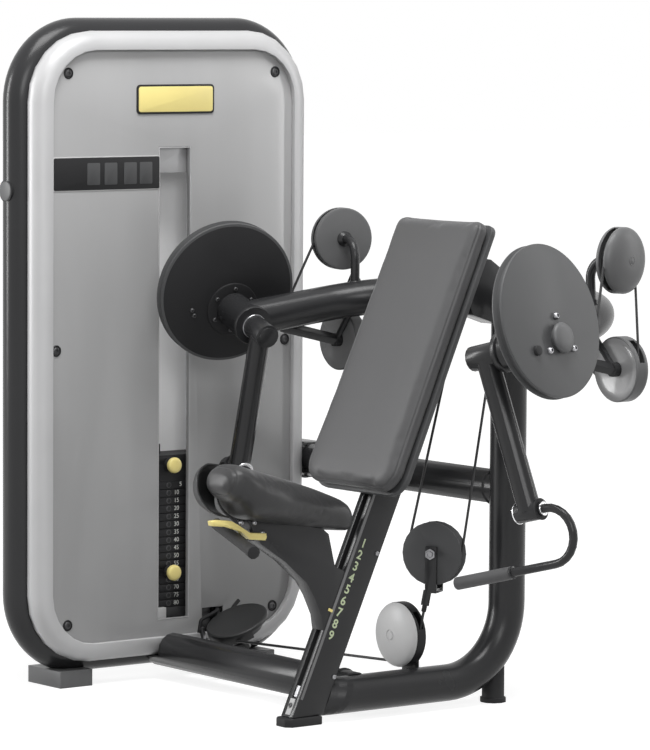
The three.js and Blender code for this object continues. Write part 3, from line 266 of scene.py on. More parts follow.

# %% [markdown]
# The big panel is a clear glossy sheet over a grey print. A clear coat on a smooth grey base gives the
# same double shine, and a slow cloud that is drawn out upward makes faint tall streaks: in the gloss they
# are real, in the colour they are painted reflection. The grey is lighter toward the top as painted light
# and reflection, so the height scales the colour.

# %% Panel and channel finishes
glossy_panel = finish("glossy_grey_panel", (0.43, 0.43, 0.432), 0.3, grain=300, relief=0.015, cloud=2.2,
                      spread=0.05, uneven=0.02, coat=0.15, stretch=(2.4, 2.4, 0.3))
panel_tree = glossy_panel.node_tree
panel_nodes = panel_tree.nodes
panel_place = added(panel_tree, "SeparateXYZ", {0: panel_nodes["Texture Coordinate"].outputs["Object"]})
# Painted light: the height scales the grey, darker toward the floor and lighter toward the top.
panel_painted_light_level = added(panel_tree, "MapRange", {"Value": panel_place.outputs["Z"]},
                    {"From Min": 0.2, "From Max": 1.3, "To Min": 0.75, "To Max": 1.06})
panel_grey_with_painted_light = added(panel_tree, "VectorMath", {0: panel_nodes["Color Ramp"].outputs["Color"],
                                              "Scale": panel_painted_light_level.outputs["Result"]}, operation="SCALE")
panel_tree.links.new(panel_grey_with_painted_light.outputs["Vector"], panel_nodes["Principled BSDF"].inputs["Base Color"])
channel_grey = finish("channel_grey_metal", (0.42, 0.42, 0.425), 0.36, metallic=0.4, grain=300, relief=0.05,
                      spread=0.06, stretch=(1, 1, 0.1))
print("Panel coat:", panel_nodes["Principled BSDF"].inputs["Coat Weight"].default_value)

# %% [markdown]
# Upholstery vinyl has a pebbled grain of about a millimetre, with a fine skin over it and a soft sheen.
# Cell noise gives the pebbles and fractal noise the skin, both as height only, so the colour stays even.

# %% Vinyl
def vinyl(name, colour, roughness):
    skin = finish(name, colour, roughness, grain=2600, relief=0.1, cloud=4.0, spread=0.05, uneven=0.05)
    tree = skin.node_tree
    where = tree.nodes["Texture Coordinate"].outputs["Object"]
    pebbles = added(tree, "TexVoronoi", {"Vector": where}, {"Scale": 850})
    pebble_relief = added(tree, "Bump", {"Height": pebbles.outputs["Distance"],
                                         "Normal": tree.nodes["Bump"].outputs["Normal"]},
                          {"Strength": 0.3, "Distance": 0.4 * mm})
    pebble_relief.invert = True
    shader = tree.nodes["Principled BSDF"].inputs
    tree.links.new(pebble_relief.outputs["Normal"], shader["Normal"])
    shader["Sheen Weight"].default_value = 0.12
    shader["Sheen Roughness"].default_value = 0.4
    return skin


# The seat has the same black vinyl as the backrest, made darker as painted shade for its shaded sides.
black_vinyl = vinyl("black_upholstery_vinyl", (0.074, 0.074, 0.076), 0.44)
shade_darkened_vinyl = vinyl("seat_upholstery_painted_shade", (0.034, 0.034, 0.035), 0.34)
print("Vinyl nodes:", len(black_vinyl.node_tree.nodes))

# %% [markdown]
# A few small helpers do what the hand does all the time: pick things, open a piece with some of its faces
# or edges picked, and smooth its sides.

# %% Hand helpers
def pick(*things):
    bpy.ops.object.select_all(action="DESELECT")
    for thing in things:
        thing.select_set(True)
    if things:
        bpy.context.view_layer.objects.active = things[0]


def edit_chosen(piece, kind, test):
    """Opens a piece in edit mode with only those of its faces or edges selected that pass a test."""
    pick(piece)
    bpy.ops.object.mode_set(mode="EDIT")
    bpy.ops.mesh.select_mode(type=kind)
    bpy.ops.mesh.select_all(action="DESELECT")
    bpy.ops.object.mode_set(mode="OBJECT")
    for part in piece.data.polygons if kind == "FACE" else piece.data.edges:
        part.select = test(part)
    bpy.ops.object.mode_set(mode="EDIT")


def leave_edit():
    bpy.ops.mesh.select_mode(type="VERT")
    bpy.ops.object.mode_set(mode="OBJECT")


def smoothed(sharp):
    """Smooths what is picked, but keeps edges that turn by more than sharp degrees."""
    bpy.ops.object.shade_smooth_by_angle(angle=math.radians(sharp))


print("Hand helpers are ready")

# %% [markdown]
# Four more finish a piece: apply a modifier, round the edges, settle the piece so that its place is in its
# mesh, and give it its paint and its body.

# %% Finishing a piece
def modified(piece, kind, **settings):
    """Gives a piece a modifier with these settings and applies it."""
    pick(piece)
    bpy.ops.object.modifier_add(type=kind)
    modifier = piece.modifiers[-1]
    for setting, value in settings.items():
        setattr(modifier, setting, value)
    bpy.ops.object.modifier_apply(modifier=modifier.name)
    return piece


def rounded(piece, width, sharp=40):
    """Rounds the sharp edges of a piece by so many millimetres."""
    return modified(piece, "BEVEL", width=width * mm, segments=2, limit_method="ANGLE",
                    angle_limit=math.radians(sharp))


def settle(piece, sharp=40):
    """Puts the piece's place into its mesh, turns its faces outward and smooths its round sides."""
    pick(piece)
    bpy.ops.object.transform_apply(location=True, rotation=True, scale=True)
    bpy.ops.object.mode_set(mode="EDIT")
    bpy.ops.mesh.select_all(action="SELECT")
    bpy.ops.mesh.remove_doubles(threshold=0.005 * mm)
    bpy.ops.mesh.normals_make_consistent(inside=False)
    bpy.ops.object.mode_set(mode="OBJECT")
    smoothed(sharp)
    return piece


def dressed(piece, name, body, slot_name, paint, *nodes):
    """Names a finished piece, paints it, and hangs it on its body; nodes are the CAD nodes it stands for."""
    piece.name = name
    piece.data.materials.clear()
    piece.data.materials.append(paint)
    if body:
        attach(piece, body)
    if nodes:
        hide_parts(*nodes)
    return piece


print("Finishing helpers are ready")

# %% [markdown]
# The rigid parts already have their true shape in CAD, but as loose triangles with knife-sharp edges. Real
# parts catch light on a small rounded edge. Each one is copied, its triangles are merged into clean faces,
# its edges are rounded and its curved sides smoothed. The copy then stands for the CAD part.

# %% Refining a CAD part
body_of = {node: body for body, nodes in frame["record"]["behaviour"]["bodies"].items() for node in nodes}


def copied(node):
    source = frame["nodes"][node]
    piece = source.copy()
    piece.data = source.data.copy()
    bpy.context.scene.collection.objects.link(piece)
    for note in list(piece.keys()):
        del piece[note]
    piece.parent = None
    piece.matrix_world = Matrix.Identity(4)
    pick(piece)
    bpy.ops.object.mode_set(mode="EDIT")
    bpy.ops.mesh.select_all(action="SELECT")
    bpy.ops.mesh.remove_doubles(threshold=0.01 * mm)
    bpy.ops.mesh.dissolve_limited(angle_limit=math.radians(0.4))
    bpy.ops.object.mode_set(mode="OBJECT")
    return piece


def refined(node, slot_name, paint, edge=1.0, sharp=42):
    """Dresses a CAD part as itself, with its edges rounded by so many millimetres."""
    piece = copied(node)
    if edge:
        rounded(piece, edge, sharp)
    smoothed(sharp)
    return dressed(piece, node + "_part", body_of[node], slot_name, paint, node)


print("Nodes to dress:", len(body_of))

# %% [markdown]
# A bent tube is made as a bender makes it: a ring is drawn out along each straight and swung round the
# middle of each bend. The spin operator turns against the right-hand rule, so its angle is negative here.

# %% Drawing a bent tube
def tube(corners, radius, bend, closed=False, ring=48, steps=12):
    """Draws a tube past its corners; radius and bend, the radius of each turn, are in millimetres."""
    here = corners[0]
    first_way = (corners[1] - here).normalized()
    pick()
    bpy.ops.mesh.primitive_circle_add(vertices=ring, radius=radius * mm, location=here,
                                      rotation=first_way.to_track_quat("Z", "Y").to_euler())
    bpy.ops.object.transform_apply(location=True, rotation=True, scale=True)
    piece = bpy.context.object
    bpy.ops.object.mode_set(mode="EDIT")
    bpy.ops.mesh.select_all(action="SELECT")
    stops = corners[1:] + ([corners[0]] if closed else [])
    for before, corner, after in zip(corners, stops, stops[1:]):
        way, onward = (corner - before).normalized(), (after - corner).normalized()
        angle = way.angle(onward)
        reach = bend * mm * math.tan(angle / 2)
        start = corner - way * reach
        inside = (onward - way * onward.dot(way)).normalized()
        bpy.ops.mesh.extrude_region_move(TRANSFORM_OT_translate={"value": start - here})
        bpy.ops.mesh.spin(steps=steps, angle=-angle, center=start + inside * bend * mm,
                          axis=way.cross(onward))
        here = corner + onward * reach
    bpy.ops.mesh.extrude_region_move(TRANSFORM_OT_translate={"value": stops[-1] - here})
    bpy.ops.mesh.select_all(action="SELECT")
    bpy.ops.mesh.remove_doubles(threshold=0.02 * mm)
    bpy.ops.mesh.select_all(action="SELECT")
    bpy.ops.mesh.fill_holes(sides=0)
    bpy.ops.object.mode_set(mode="OBJECT")
    return settle(piece)


print("A tube is drawn from its corners, its radius and its bend")

# %% [markdown]
# Anything round about an axis, such as a disc, a knob or a bolt, is turned as on a lathe. A ring is pulled
# up and scaled in or out at each step of the outline, and a step with no radius closes it to a point.

# %% Turning a round piece
def turned(outline, place=(0, 0, 0), axis=(0, 0, 1), ring=64, sharp=35):
    """outline is a list of (radius, height) in millimetres, measured from place along axis."""
    steps = [(max(radius, 0.001) * mm, height * mm) for radius, height in outline]
    pick()
    bpy.ops.mesh.primitive_circle_add(vertices=ring, radius=steps[0][0], location=(0, 0, steps[0][1]))
    bpy.ops.object.transform_apply(location=True, rotation=True, scale=True)
    piece = bpy.context.object
    bpy.ops.object.mode_set(mode="EDIT")
    bpy.ops.mesh.select_all(action="SELECT")
    for (before, low), (after, high) in zip(steps, steps[1:]):
        bpy.ops.mesh.extrude_region_move(TRANSFORM_OT_translate={"value": (0, 0, high - low)})
        bpy.ops.transform.resize(value=(after / before, after / before, 1), center_override=(0, 0, high))
    bpy.ops.object.mode_set(mode="OBJECT")
    piece.matrix_world = aimed(place, axis)
    return settle(piece, sharp)


def together(*pieces):
    """Joins separate shapes into one piece."""
    pick(*pieces)
    bpy.ops.object.join()
    return bpy.context.object


def repeated(model, places, axis):
    """Copies a piece that was modelled at the origin to each place, each copy with its own mesh."""
    made = []
    for place in places:
        pick(model)
        bpy.ops.object.duplicate(linked=False)
        fresh = bpy.context.object
        fresh.matrix_world = aimed(place, axis)
        bpy.ops.object.transform_apply(location=True, rotation=True, scale=True)
        made.append(fresh)
    return together(*made)


def discard(*things):
    pick(*things)
    bpy.ops.object.delete()


print("Lathe and copies are ready")

# %% [markdown]
# Small fasteners repeat all over a machine: a button head with a round socket. It is turned once for each
# group, at the origin, and copied wherever the photograph shows one.

# %% Button-head bolt
def bolts(name, places, axis, radius, height, body, paint=dull_steel):
    head = [(0, height * 0.45), (radius * 0.42, height * 0.45), (radius * 0.46, height * 0.98),
            (radius * 0.62, height), (radius * 0.86, height * 0.78), (radius, height * 0.3), (radius, -0.4),
            (0, -0.4)]
    model = turned(head, ring=24)
    piece = repeated(model, places, axis)
    discard(model)
    return dressed(piece, name, body, "fork_steel", paint)


print("Bolt model ready")

# %% [markdown]
# The tower is one closed loop of tube, bent at its four corners. It is drawn as one tube that ends where
# it began, just over the CAD tube. What the tower holds inside, such as the floor plate of the weights and
# the carriers of the rods, is refined from the CAD part.

# %% Tower loop
tower_depth, tower_half, tower_low, tower_high = 745, 360, 64, 1432
loop = [spot(x, tower_depth, z) for x, z in
        ((0, tower_low), (tower_half, tower_low), (tower_half, tower_high), (-tower_half, tower_high),
         (-tower_half, tower_low))]
tower_tube = tube(loop, 38.15, 145, closed=True, ring=56, steps=16)
refined("tower_frame", "frame_paint", charcoal_coat)
dressed(tower_tube, "tower_tube", "frame", "frame_paint", charcoal_coat)
print("Tower tube faces:", len(tower_tube.data.polygons))

# %% [markdown]
# The floor frame is a tube from the post that bends up into the rear upright. Its front end leans with the
# back of the post and narrows to fit between the post's sides, by three short extrusions of its end face.
# The beam to the tower and the cross tube behind are straight. A weld bead runs round each joint, because a
# real tube is never just pushed into another.

# %% Floor frame
tube_front = spot(-48, 0, 53)
rear_x, cross_height = 408, 462.5
post_slope = 0.4536
main_tube = tube([tube_front, spot(rear_x, 0, 53), spot(rear_x, 0, 872)], 39.5, 165, steps=16)
for vertex in main_tube.data.vertices:
    if vertex.co.x < tube_front.x + 1 * mm:
        vertex.co.x += (vertex.co.z - tube_front.z) * post_slope
edit_chosen(main_tube, "FACE",
            lambda face: len(face.vertices) > 8 and face.center.x < tube_front.x + 21 * mm)
end_widths, end_steps = (1.0, 0.9, 0.68, 0.5), (14, 16, 14)
for before, after, reach in zip(end_widths, end_widths[1:], end_steps):
    bpy.ops.mesh.extrude_region_move(TRANSFORM_OT_translate={"value": (-reach * mm, 0, 0)})
    bpy.ops.transform.resize(value=(1, after / before, 1), center_override=tube_front)
leave_edit()
smoothed(50)
dressed(main_tube, "floor_and_upright_tube", "frame", "frame_paint", charcoal_coat, "main_frame")
refined("tower_beam", "frame_paint", charcoal_coat)
refined("cross_tube", "frame_paint", charcoal_coat)


def weld_bead(place, radius):
    """A bead round a tube that runs along Y."""
    return turned([(radius - 1, -4), (radius + 2.6, -1.5), (radius + 3.4, 0.5), (radius + 2.2, 2.6),
                   (radius - 1, 5)], place, (0, 1, 0), ring=56, sharp=80)


beads = together(weld_bead(spot(-8, 41, 59.4), 39.5), weld_bead(spot(rear_x, 40.5, cross_height), 37.5),
                 weld_bead(spot(398, 704, cross_height), 37.5))
dressed(beads, "weld_beads", "frame", "frame_paint", charcoal_coat)
print("Floor frame pieces:", main_tube.name, beads.name)

# %% [markdown]
# The levers turn on pivots that are canted, so that they swing out as they rise. Three directions at the
# right pivot, into the machine, ahead and up, give every place on a lever. The left side is its mirror.

# %% Pivot directions
def flip(point, side):
    """The same direction or distance on the right (1) or the left (-1) of the machine."""
    return Vector((point.x, point.y * side, point.z))


pivot = Vector((61, 537.5, 832.8))
inward = Vector((-0.214, -0.947, -0.241)).normalized()
ahead = Vector((0.947, -0.214, 0)).normalized()
rise = inward.cross(ahead)
down = (-rise - inward * 0.112).normalized()
sides = {"right": 1, "left": -1}


def by_pivot(side, into=0.0, ahead_by=0.0, up=0.0):
    """A place measured from a lever's pivot: into the machine, ahead and up, in millimetres."""
    return spot(*flip(pivot + inward * into + ahead * ahead_by + rise * up, side))


def round_pivot(side, into, radius, angle):
    """A place on a circle round a lever's pivot."""
    return by_pivot(side, into, radius * math.cos(angle), radius * math.sin(angle))


print("Right pivot:", by_pivot(1))

# %% [markdown]
# The top tube is a horseshoe that carries a bearing housing at each end. A collar ring closes each housing.

# %% Top tube and housings
tip_x, tip_y, tip_height = 44.9, 466.5, 814.7
leg = rear_x - tip_x
back_y, back_height = tip_y - 0.2425 * leg, tip_height + 0.159 * leg
horseshoe = tube([spot(tip_x, tip_y, tip_height), spot(rear_x, back_y, back_height),
                  spot(rear_x, -back_y, back_height), spot(tip_x, -tip_y, tip_height)], 39, 235, steps=16)
dressed(horseshoe, "top_tube_horseshoe", "frame", "frame_paint", charcoal_coat, "top_tube")
housing_outline = [(23, 8), (37.5, 8), (39, 9.5), (39, 108), (41, 108.6), (43, 111), (43, 119.5),
                   (41.5, 122), (23, 122), (23, 8)]
for side_name, side in sides.items():
    housing = turned(housing_outline, by_pivot(side), flip(inward, side), ring=56)
    dressed(housing, "bearing_housing_" + side_name, "frame", "frame_paint", charcoal_coat)
print("Housings:", list(sides))

# %% [markdown]
# A small curved arm stands on the top tube and holds each upper pulley. It flares where it meets the pulley,
# and its foot widens over the tube, as a welded gusset does.

# %% Upper pulley arms
def upper_hub(side):
    return spot(310.8, side * 466.5, 983.8)


def wheel_axis(side):
    return Vector((0.25, side, 0)).normalized()


flare_outline = [(0, 0), (17, 0), (17, 4), (14, 7.5), (10.2, 11), (0, 11)]
gusset_outline = [(0, -14), (24, -14), (20, 4), (12, 16), (10, 22), (0, 22)]
for side_name, side in sides.items():
    face = upper_hub(side) - wheel_axis(side) * 15.3 * mm
    elbow = face - wheel_axis(side) * 60 * mm
    foot = spot(296, side * 398, 866)
    arm = tube([face, elbow, foot], 10, 40, ring=28, steps=10)
    flare = turned(flare_outline, face, -wheel_axis(side), ring=36)
    gusset = turned(gusset_outline, spot(296, side * 398, 878), spot(310, side * 400, 984) - foot, ring=36)
    dressed(together(arm, flare, gusset), "upper_pulley_arm_" + side_name, "frame", "frame_paint",
            charcoal_coat)
print("Upper pulley arms done")

# %% [markdown]
# The parts that need no more than soft edges are refined in one go: the bezel, the panel, the channel,
# the feet, the plates, the brackets, the levers and the wheels inside. Each row is one finish, with the
# width of each part's rounded edge in millimetres. A star stands for the right and the left part.

# %% Refined parts
plain_parts = (
    ("silver_paint", satin_silver, {"tower_bezel": 1.5}),
    ("panel_gloss", glossy_panel, {"tower_panel": 0.8}),
    ("channel_metal", channel_grey, {"stack_channel": 0.8}),
    ("cover_plastic", moulded_grey, {"tower_rear_cover": 2}),
    ("rubber_black", moulded_grey, {"tower_foot_front": 3, "tower_foot_rear": 3}),
    ("rod_chrome", polished_steel, {"guide_rod_front": 0, "guide_rod_rear": 0}),
    ("plate_iron", black_iron, {"weight_plates_lifted": 0.6, "weight_plates_resting": 0.6,
                                "selector_stem": 1}),
    ("frame_paint", charcoal_coat, {"post": 2, "head_bracket": 2, "seat_carriage": 2, "base_bracket": 1,
                                    "puck_bracket": 1, "lever_arm_*": 1.2, "handle_rod_*": 0.6,
                                    "lower_pulley_arm_*": 1}),
    ("rubber_black", black_rubber, {"post_foot": 2, "rear_foot": 2, "seat_handle": 1.5}),
    ("rubber_black", grip_rubber, {"grip_*": 2}),
    ("board_plastic", moulded_dark, {"pad_board": 1.5}),
    ("yellow_plastic", yellow_moulding, {"release_lever": 1.2}),
    ("fork_steel", charcoal_coat, {"floating_fork": 0.8}),
    ("wheel_plastic", moulded_dark, {"floating_wheel": 1.2, "base_wheel": 0.6, "puck_wheel": 1,
                                     "turner_wheel": 0.6, "tower_wheel": 0.6, "upper_wheel_*": 0.6,
                                     "lower_wheel_*": 0.6, "head_wheel_*": 0.6}),
)
done = []
for slot_name, paint, edges in plain_parts:
    for part, edge in edges.items():
        for node in sorted({part.replace("*", side_name) for side_name in sides}):
            done.append(refined(node, slot_name, paint, edge))
print("Refined parts:", len(done))

# %% [markdown]
# Each lever turns with a thick cam disc. Its rim is a grooved track for the cable, and a domed cap and
# three bolts hold it on the outer face. The inner face is lined in near black as painted shade, for the
# shade on that face, which tilts down, and a flange takes the load.

# %% Cam discs
disc_outline = [(0, 0), (154, 0), (156.8, 0.7), (158, 2.6), (158, 4.6), (150, 8), (150, 18), (158, 21.4),
                (158, 23.4), (156.8, 25.3), (154, 26), (0, 26)]
flange_outline = [(0, -6), (56, -6), (58.8, -5.4), (60, -3.6), (60, 3), (0, 3)]
cap_outline = [(0, 20), (25, 20), (25, 32), (30, 32.4), (31.4, 33.6), (31.4, 37.6), (29.4, 41), (24, 43.4),
               (15, 44.7), (6, 45), (0, 45)]
shade_sheet_outline = [(0, -0.9), (150.6, -0.9), (151.5, -0.3), (151.5, 0.6), (0, 0.6)]
disc_grey = finish("disc_grey_plastic", (0.08, 0.081, 0.083), 0.44, grain=1400, relief=0.15, spread=0.05)
for side_name, side in sides.items():
    outward, lever = -flip(inward, side), "lever_" + side_name
    disc_middle, hinge = by_pivot(side, 0, -15, 37.9), by_pivot(side)
    plate = turned(disc_outline, disc_middle, outward, ring=120)
    dressed(plate, "cam_disc_plate_" + side_name, lever, "disc_plastic", disc_grey, "cam_disc_" + side_name)
    flange = turned(flange_outline, hinge, outward)
    dressed(flange, "cam_disc_flange_" + side_name, lever, "disc_plastic", near_black)
    # Painted shade: a near-black sheet darkens the inner face, where shade falls.
    shade_sheet = turned(shade_sheet_outline, disc_middle, outward, ring=120)
    dressed(shade_sheet, "cam_disc_inner_shade_sheet_" + side_name, lever, "disc_plastic", near_black)
    cap = turned(cap_outline, hinge, outward, ring=56, sharp=50)
    dressed(cap, "cam_disc_cap_" + side_name, lever, "disc_plastic", moulded_grey)
    outer_circle = [round_pivot(side, -26, 46, math.pi / 2 + k * math.tau / 3) for k in range(3)]
    bolts("cam_disc_bolts_" + side_name, outer_circle, outward, 7.5, 8, lever)
    inner_circle = [round_pivot(side, 6, 47, 0.5 + k * math.tau / 6) for k in range(6)]
    bolts("flange_bolts_" + side_name, inner_circle, -outward, 5, 3.4, lever, dark_steel)
print("Cam disc faces:", len(plate.data.polygons))

# %% [markdown]
# The pulleys run in covers of moulded plastic: a drum with soft edges, open only where the cable enters.
# The drum is turned as a thin skin, the faces of its rim are deleted along the slot, and Solidify gives
# the skin its wall, so the slot is a real opening with the wheel behind it. The upper covers are domed on
# their outer side, with a small cap in the middle.

# %% Covers with a slot
def slotted_cover(outline, place, axis, slot_ways, half_turn, half_width, wall, ring=72):
    """A cover that is open half_turn to either side of each slot way; the measures are in millimetres."""
    piece = turned(outline, place, axis, ring=ring)
    axis = Vector(axis).normalized()
    flat_ways = [(way - axis * way.dot(axis)).normalized() for way in slot_ways]

    def in_slot(face):
        step = face.center - place
        height = step.dot(axis)
        flat = (step - axis * height).normalized()
        on_rim = abs(face.normal.dot(axis)) < 0.5 and abs(height) < half_width * mm
        return on_rim and any(flat.dot(way) > math.cos(half_turn) for way in flat_ways)

    edit_chosen(piece, "FACE", in_slot)
    bpy.ops.mesh.delete(type="FACE")
    leave_edit()
    modified(piece, "SOLIDIFY", thickness=wall * mm, offset=-1, use_even_offset=True)
    rounded(piece, 0.6, 50)
    smoothed(35)
    return piece


upper_outline = [(0, -15), (63, -15), (67, -13.6), (69, -10.5), (69, -6), (69, 6), (69, 11), (67.6, 15),
                 (64, 19), (60, 22.3), (50, 26), (34.5, 29.4), (18, 30.8), (0, 31)]
small_cap_outline = [(0, 31.7), (6.2, 31.6), (7.2, 31.2), (7.8, 31.9), (9.2, 31.9), (10, 31), (10, 29),
                     (0, 29)]
for side_name, side in sides.items():
    cover = slotted_cover(upper_outline, upper_hub(side), wheel_axis(side), [Vector((-1, 0, 0.1))],
                          half_turn=1.25, half_width=6.5, wall=2.6)
    dressed(cover, "upper_pulley_housing_" + side_name, "frame", "pulley_plastic", moulded_grey,
            "upper_pulley_cover_" + side_name)
    cap = turned(small_cap_outline, upper_hub(side), wheel_axis(side), ring=32)
    dressed(cap, "upper_pulley_cap_" + side_name, "frame", "pulley_plastic", moulded_grey)
print("Upper covers done")

# %% [markdown]
# The lower covers are bowls. A paler, shinier dish closes each one on the side of the seat; part of its
# paleness is painted light and reflection.

# %% Lower covers
along_x = Vector((1, 0, 0))
lower_outline = [(64.5, -16), (66, -16), (68, -14), (68, -7), (68, 7), (68, 12), (66.4, 15), (62, 16.6),
                 (30, 17.2), (0, 17.4)]
dish_outline = [(65.6, -15.4), (64.6, -14.8), (48, -12.9), (30, -11.7), (16.4, -11), (15.2, -11.6),
                (15.2, -12.4), (30, -13), (48, -14.2), (64, -16.2), (65.6, -15.4)]
# Partly painted light: the dish's grey is paler than the bowl's, standing in part for the light and
# reflection on it.
dish_grey_painted_light = finish("dish_plastic_painted_light", (0.26, 0.26, 0.263), 0.3, grain=1400, relief=0.08, spread=0.05,
                   coat=0.3)
for side_name, side in sides.items():
    hub = spot(318, side * 467.1, 758.8)
    cover = slotted_cover(lower_outline, hub, along_x, [Vector((0, side * 0.75, 0.66))],
                          half_turn=0.42, half_width=7.5, wall=2.6)
    dressed(cover, "lower_pulley_bowl_" + side_name, "frame", "pulley_plastic", moulded_grey,
            "lower_pulley_cover_" + side_name)
    dish = turned(dish_outline, hub, along_x, ring=72)
    dressed(dish, "lower_pulley_dish_" + side_name, "frame", "pulley_plastic", dish_grey_painted_light)
print("Lower covers done")

# %% [markdown]
# The base pulley has a near-black drum and, on the side of the seat, a pale domed face. The drum has the
# slots, so that what shows through them is dark. A shallow groove runs round the middle of the face.

# %% Base pulley cover
base_hub = spot(163, 58, 158)
drum_outline = [(24, 14), (67, 14), (70, 11.6), (70, 6), (70, -6), (70, -10), (69.4, -11), (60, -11)]
face_outline = [(0, -32.4), (9, -32.2), (9.8, -30), (11.6, -30), (12.4, -31.8), (35, -30), (52, -26.4),
                (61, -22.4), (66, -18.4), (69, -14), (69, -11.2), (0, -11.2)]
base_drum = slotted_cover(drum_outline, base_hub, along_x,
                          [Vector((0, -0.83, 0.56)), Vector((0, 0.56, -0.83))],
                          half_turn=0.3, half_width=6, wall=2.6)
dressed(base_drum, "base_pulley_drum", "frame", "rubber_black", near_black, "base_pulley_cover")
cover_white = finish("pale_cover_plastic", (0.66, 0.66, 0.66), 0.4, grain=1400, relief=0.08, spread=0.04)
base_face = turned(face_outline, base_hub, along_x, ring=88)
dressed(base_face, "base_pulley_face", "frame", "cover_pale", cover_white)
print("Base drum faces:", len(base_drum.data.polygons))

# %% [markdown]
# The backrest and the seat are foam under vinyl. Each starts from a copy of its plain CAD form, drawn in a
# little, cut into an even skin of small faces, and inflated by a short cloth simulation, so that its faces
# crown and its edges pull soft. A limit keeps it in the room that the CAD form holds.

# %% Stuffing a cushion
def stuffed(node, shrink, swell, voxel):
    """A cushion from a CAD form: how far it shrinks, how far it may swell, and its face size."""
    piece = copied(node)
    modified(piece, "REMESH", mode="VOXEL", voxel_size=voxel * mm)
    modified(piece, "SMOOTH", iterations=3)
    modified(piece, "DISPLACE", strength=-shrink * mm, mid_level=0)
    start = [vertex.co.copy() for vertex in piece.data.vertices]
    bpy.ops.object.modifier_add(type="CLOTH")
    cloth = piece.modifiers[-1]
    cloth.settings.use_pressure = True
    cloth.settings.uniform_pressure_force = 4.0
    cloth.settings.tension_stiffness = cloth.settings.compression_stiffness = 12.0
    cloth.settings.effector_weights.gravity = 0
    for step in range(1, 21):
        bpy.context.scene.frame_set(step)
    bpy.ops.object.modifier_apply(modifier=cloth.name)
    bpy.context.scene.frame_set(1)
    fuller = [vertex.co.copy() for vertex in piece.data.vertices]
    for vertex, before, after in zip(piece.data.vertices, start, fuller):
        move = after - before
        vertex.co = before + move * min(1.0, swell * mm / max(move.length, 1e-9))
    modified(piece, "SMOOTH", iterations=2)
    return modified(piece, "SUBSURF", levels=1, render_levels=1)


def pressed_seam(piece, nearness, width, depth):
    """Pulls the skin in along a seam; nearness gives a point's distance from the seam in millimetres."""
    piece.data.update()
    normals = [vertex.normal.copy() for vertex in piece.data.vertices]
    for vertex, normal in zip(piece.data.vertices, normals):
        share = nearness(vertex.co) / width
        if share < 1:
            vertex.co -= normal * depth * mm * (1 - share * share) ** 2
    piece.data.update()


def upholstered(piece, name, body, paint, node):
    pick(piece)
    bpy.ops.object.shade_smooth()
    dressed(piece, name, body, "vinyl_black", paint, node)


print("Cushion helpers are ready")

# %% [markdown]
# The backrest leans back, and a seam runs all the way round it, a little behind its face.

# %% Backrest cushion
rest_slope = 0.4555
rest_out = Vector((-1, 0, rest_slope)).normalized()
rest_foot = spot(-4.2 + rest_slope * (496 - 600), 0, 496)
seam_behind_face = 12.5


def off_rest_seam(point):
    behind_face = -(point - rest_foot).dot(rest_out) / mm
    return abs(behind_face - seam_behind_face)


backrest = stuffed("pad", shrink=4.0, swell=6.5, voxel=5.5)
pressed_seam(backrest, off_rest_seam, width=3.6, depth=1.7)
upholstered(backrest, "backrest_cushion", "frame", black_vinyl, "pad")
print("Backrest cushion faces:", len(backrest.data.polygons))

# %% [markdown]
# The seat's nose sits in a moulded shell that shows round its far side and under it. The shell is the skin
# of the CAD form there: two plane cuts take the rest away, and Solidify gives it a wall. It is made before
# the cushion, because the cushion hides the CAD form that both are copied from.

# %% Seat shell
shell_black = finish("shell_black_plastic", (0.026, 0.0262, 0.027), 0.38, grain=1400, relief=0.1,
                     spread=0.06)
seat_top = 562
shell_cuts = ((spot(0, 50, seat_top), (0, 0.9446, -0.3286)), (spot(-318, 0, 500), (-0.96, 0, 0.28)))
shell = copied("seat_pad")
modified(shell, "REMESH", mode="VOXEL", voxel_size=5 * mm)
modified(shell, "SMOOTH", iterations=4)
bpy.ops.object.mode_set(mode="EDIT")
for cut_place, cut_way in shell_cuts:
    bpy.ops.mesh.select_all(action="SELECT")
    bpy.ops.mesh.bisect(plane_co=cut_place, plane_no=cut_way, clear_inner=True)
bpy.ops.object.mode_set(mode="OBJECT")
modified(shell, "SOLIDIFY", thickness=3.6 * mm, offset=0)
rounded(shell, 0.8, 60)
smoothed(50)
dressed(shell, "seat_nose_shell", "seat", "cover_plastic", shell_black)
print("Seat shell faces:", len(shell.data.polygons))

# %% [markdown]
# The seat's cushion is drawn in at its nose, toward its near side and its top, so that the shell shows.
# The drawing in starts softly and ends softly, so it leaves no crease. A seam crosses the nose.

# %% Seat cushion
seat = stuffed("seat_pad", shrink=3.0, swell=5.0, voxel=5.0)
nose_start, nose_length, nose_squeeze, nose_pull = spot(-306, 0, 0).x, 56 * mm, 0.24, 6 * mm
near_side, top_side = spot(0, -76, 0).y, seat_top * mm
for vertex in seat.data.vertices:
    nose = min(1.0, max(0.0, (nose_start - vertex.co.x) / nose_length))
    nose = nose * nose * (3 - 2 * nose)
    kept = 1 - nose_squeeze * nose
    vertex.co.y = near_side + (vertex.co.y - near_side) * kept
    vertex.co.z = top_side + (vertex.co.z - top_side) * kept
    vertex.co.x += nose_pull * nose
seam_x, seam_height, seam_slope = spot(-381, 0, 0).x, 0.5, 0.25


def off_seat_seam(point):
    return abs(point.x - seam_x - (point.z - seam_height) * seam_slope) / mm


pressed_seam(seat, off_seat_seam, width=4.0, depth=1.6)
upholstered(seat, "seat_cushion", "seat", shade_darkened_vinyl, "seat_pad")
print("Seat cushion faces:", len(seat.data.polygons))

# %% [markdown]
# The arm cable and the stack cable are each one long rope in CAD. Here each is cut where it starts to
# follow something that moves: the loop under the floating pulley, the run to its foot, and the run down to
# the weights. Those lengths are kept as pieces of their own, and the rest stays with the frame.

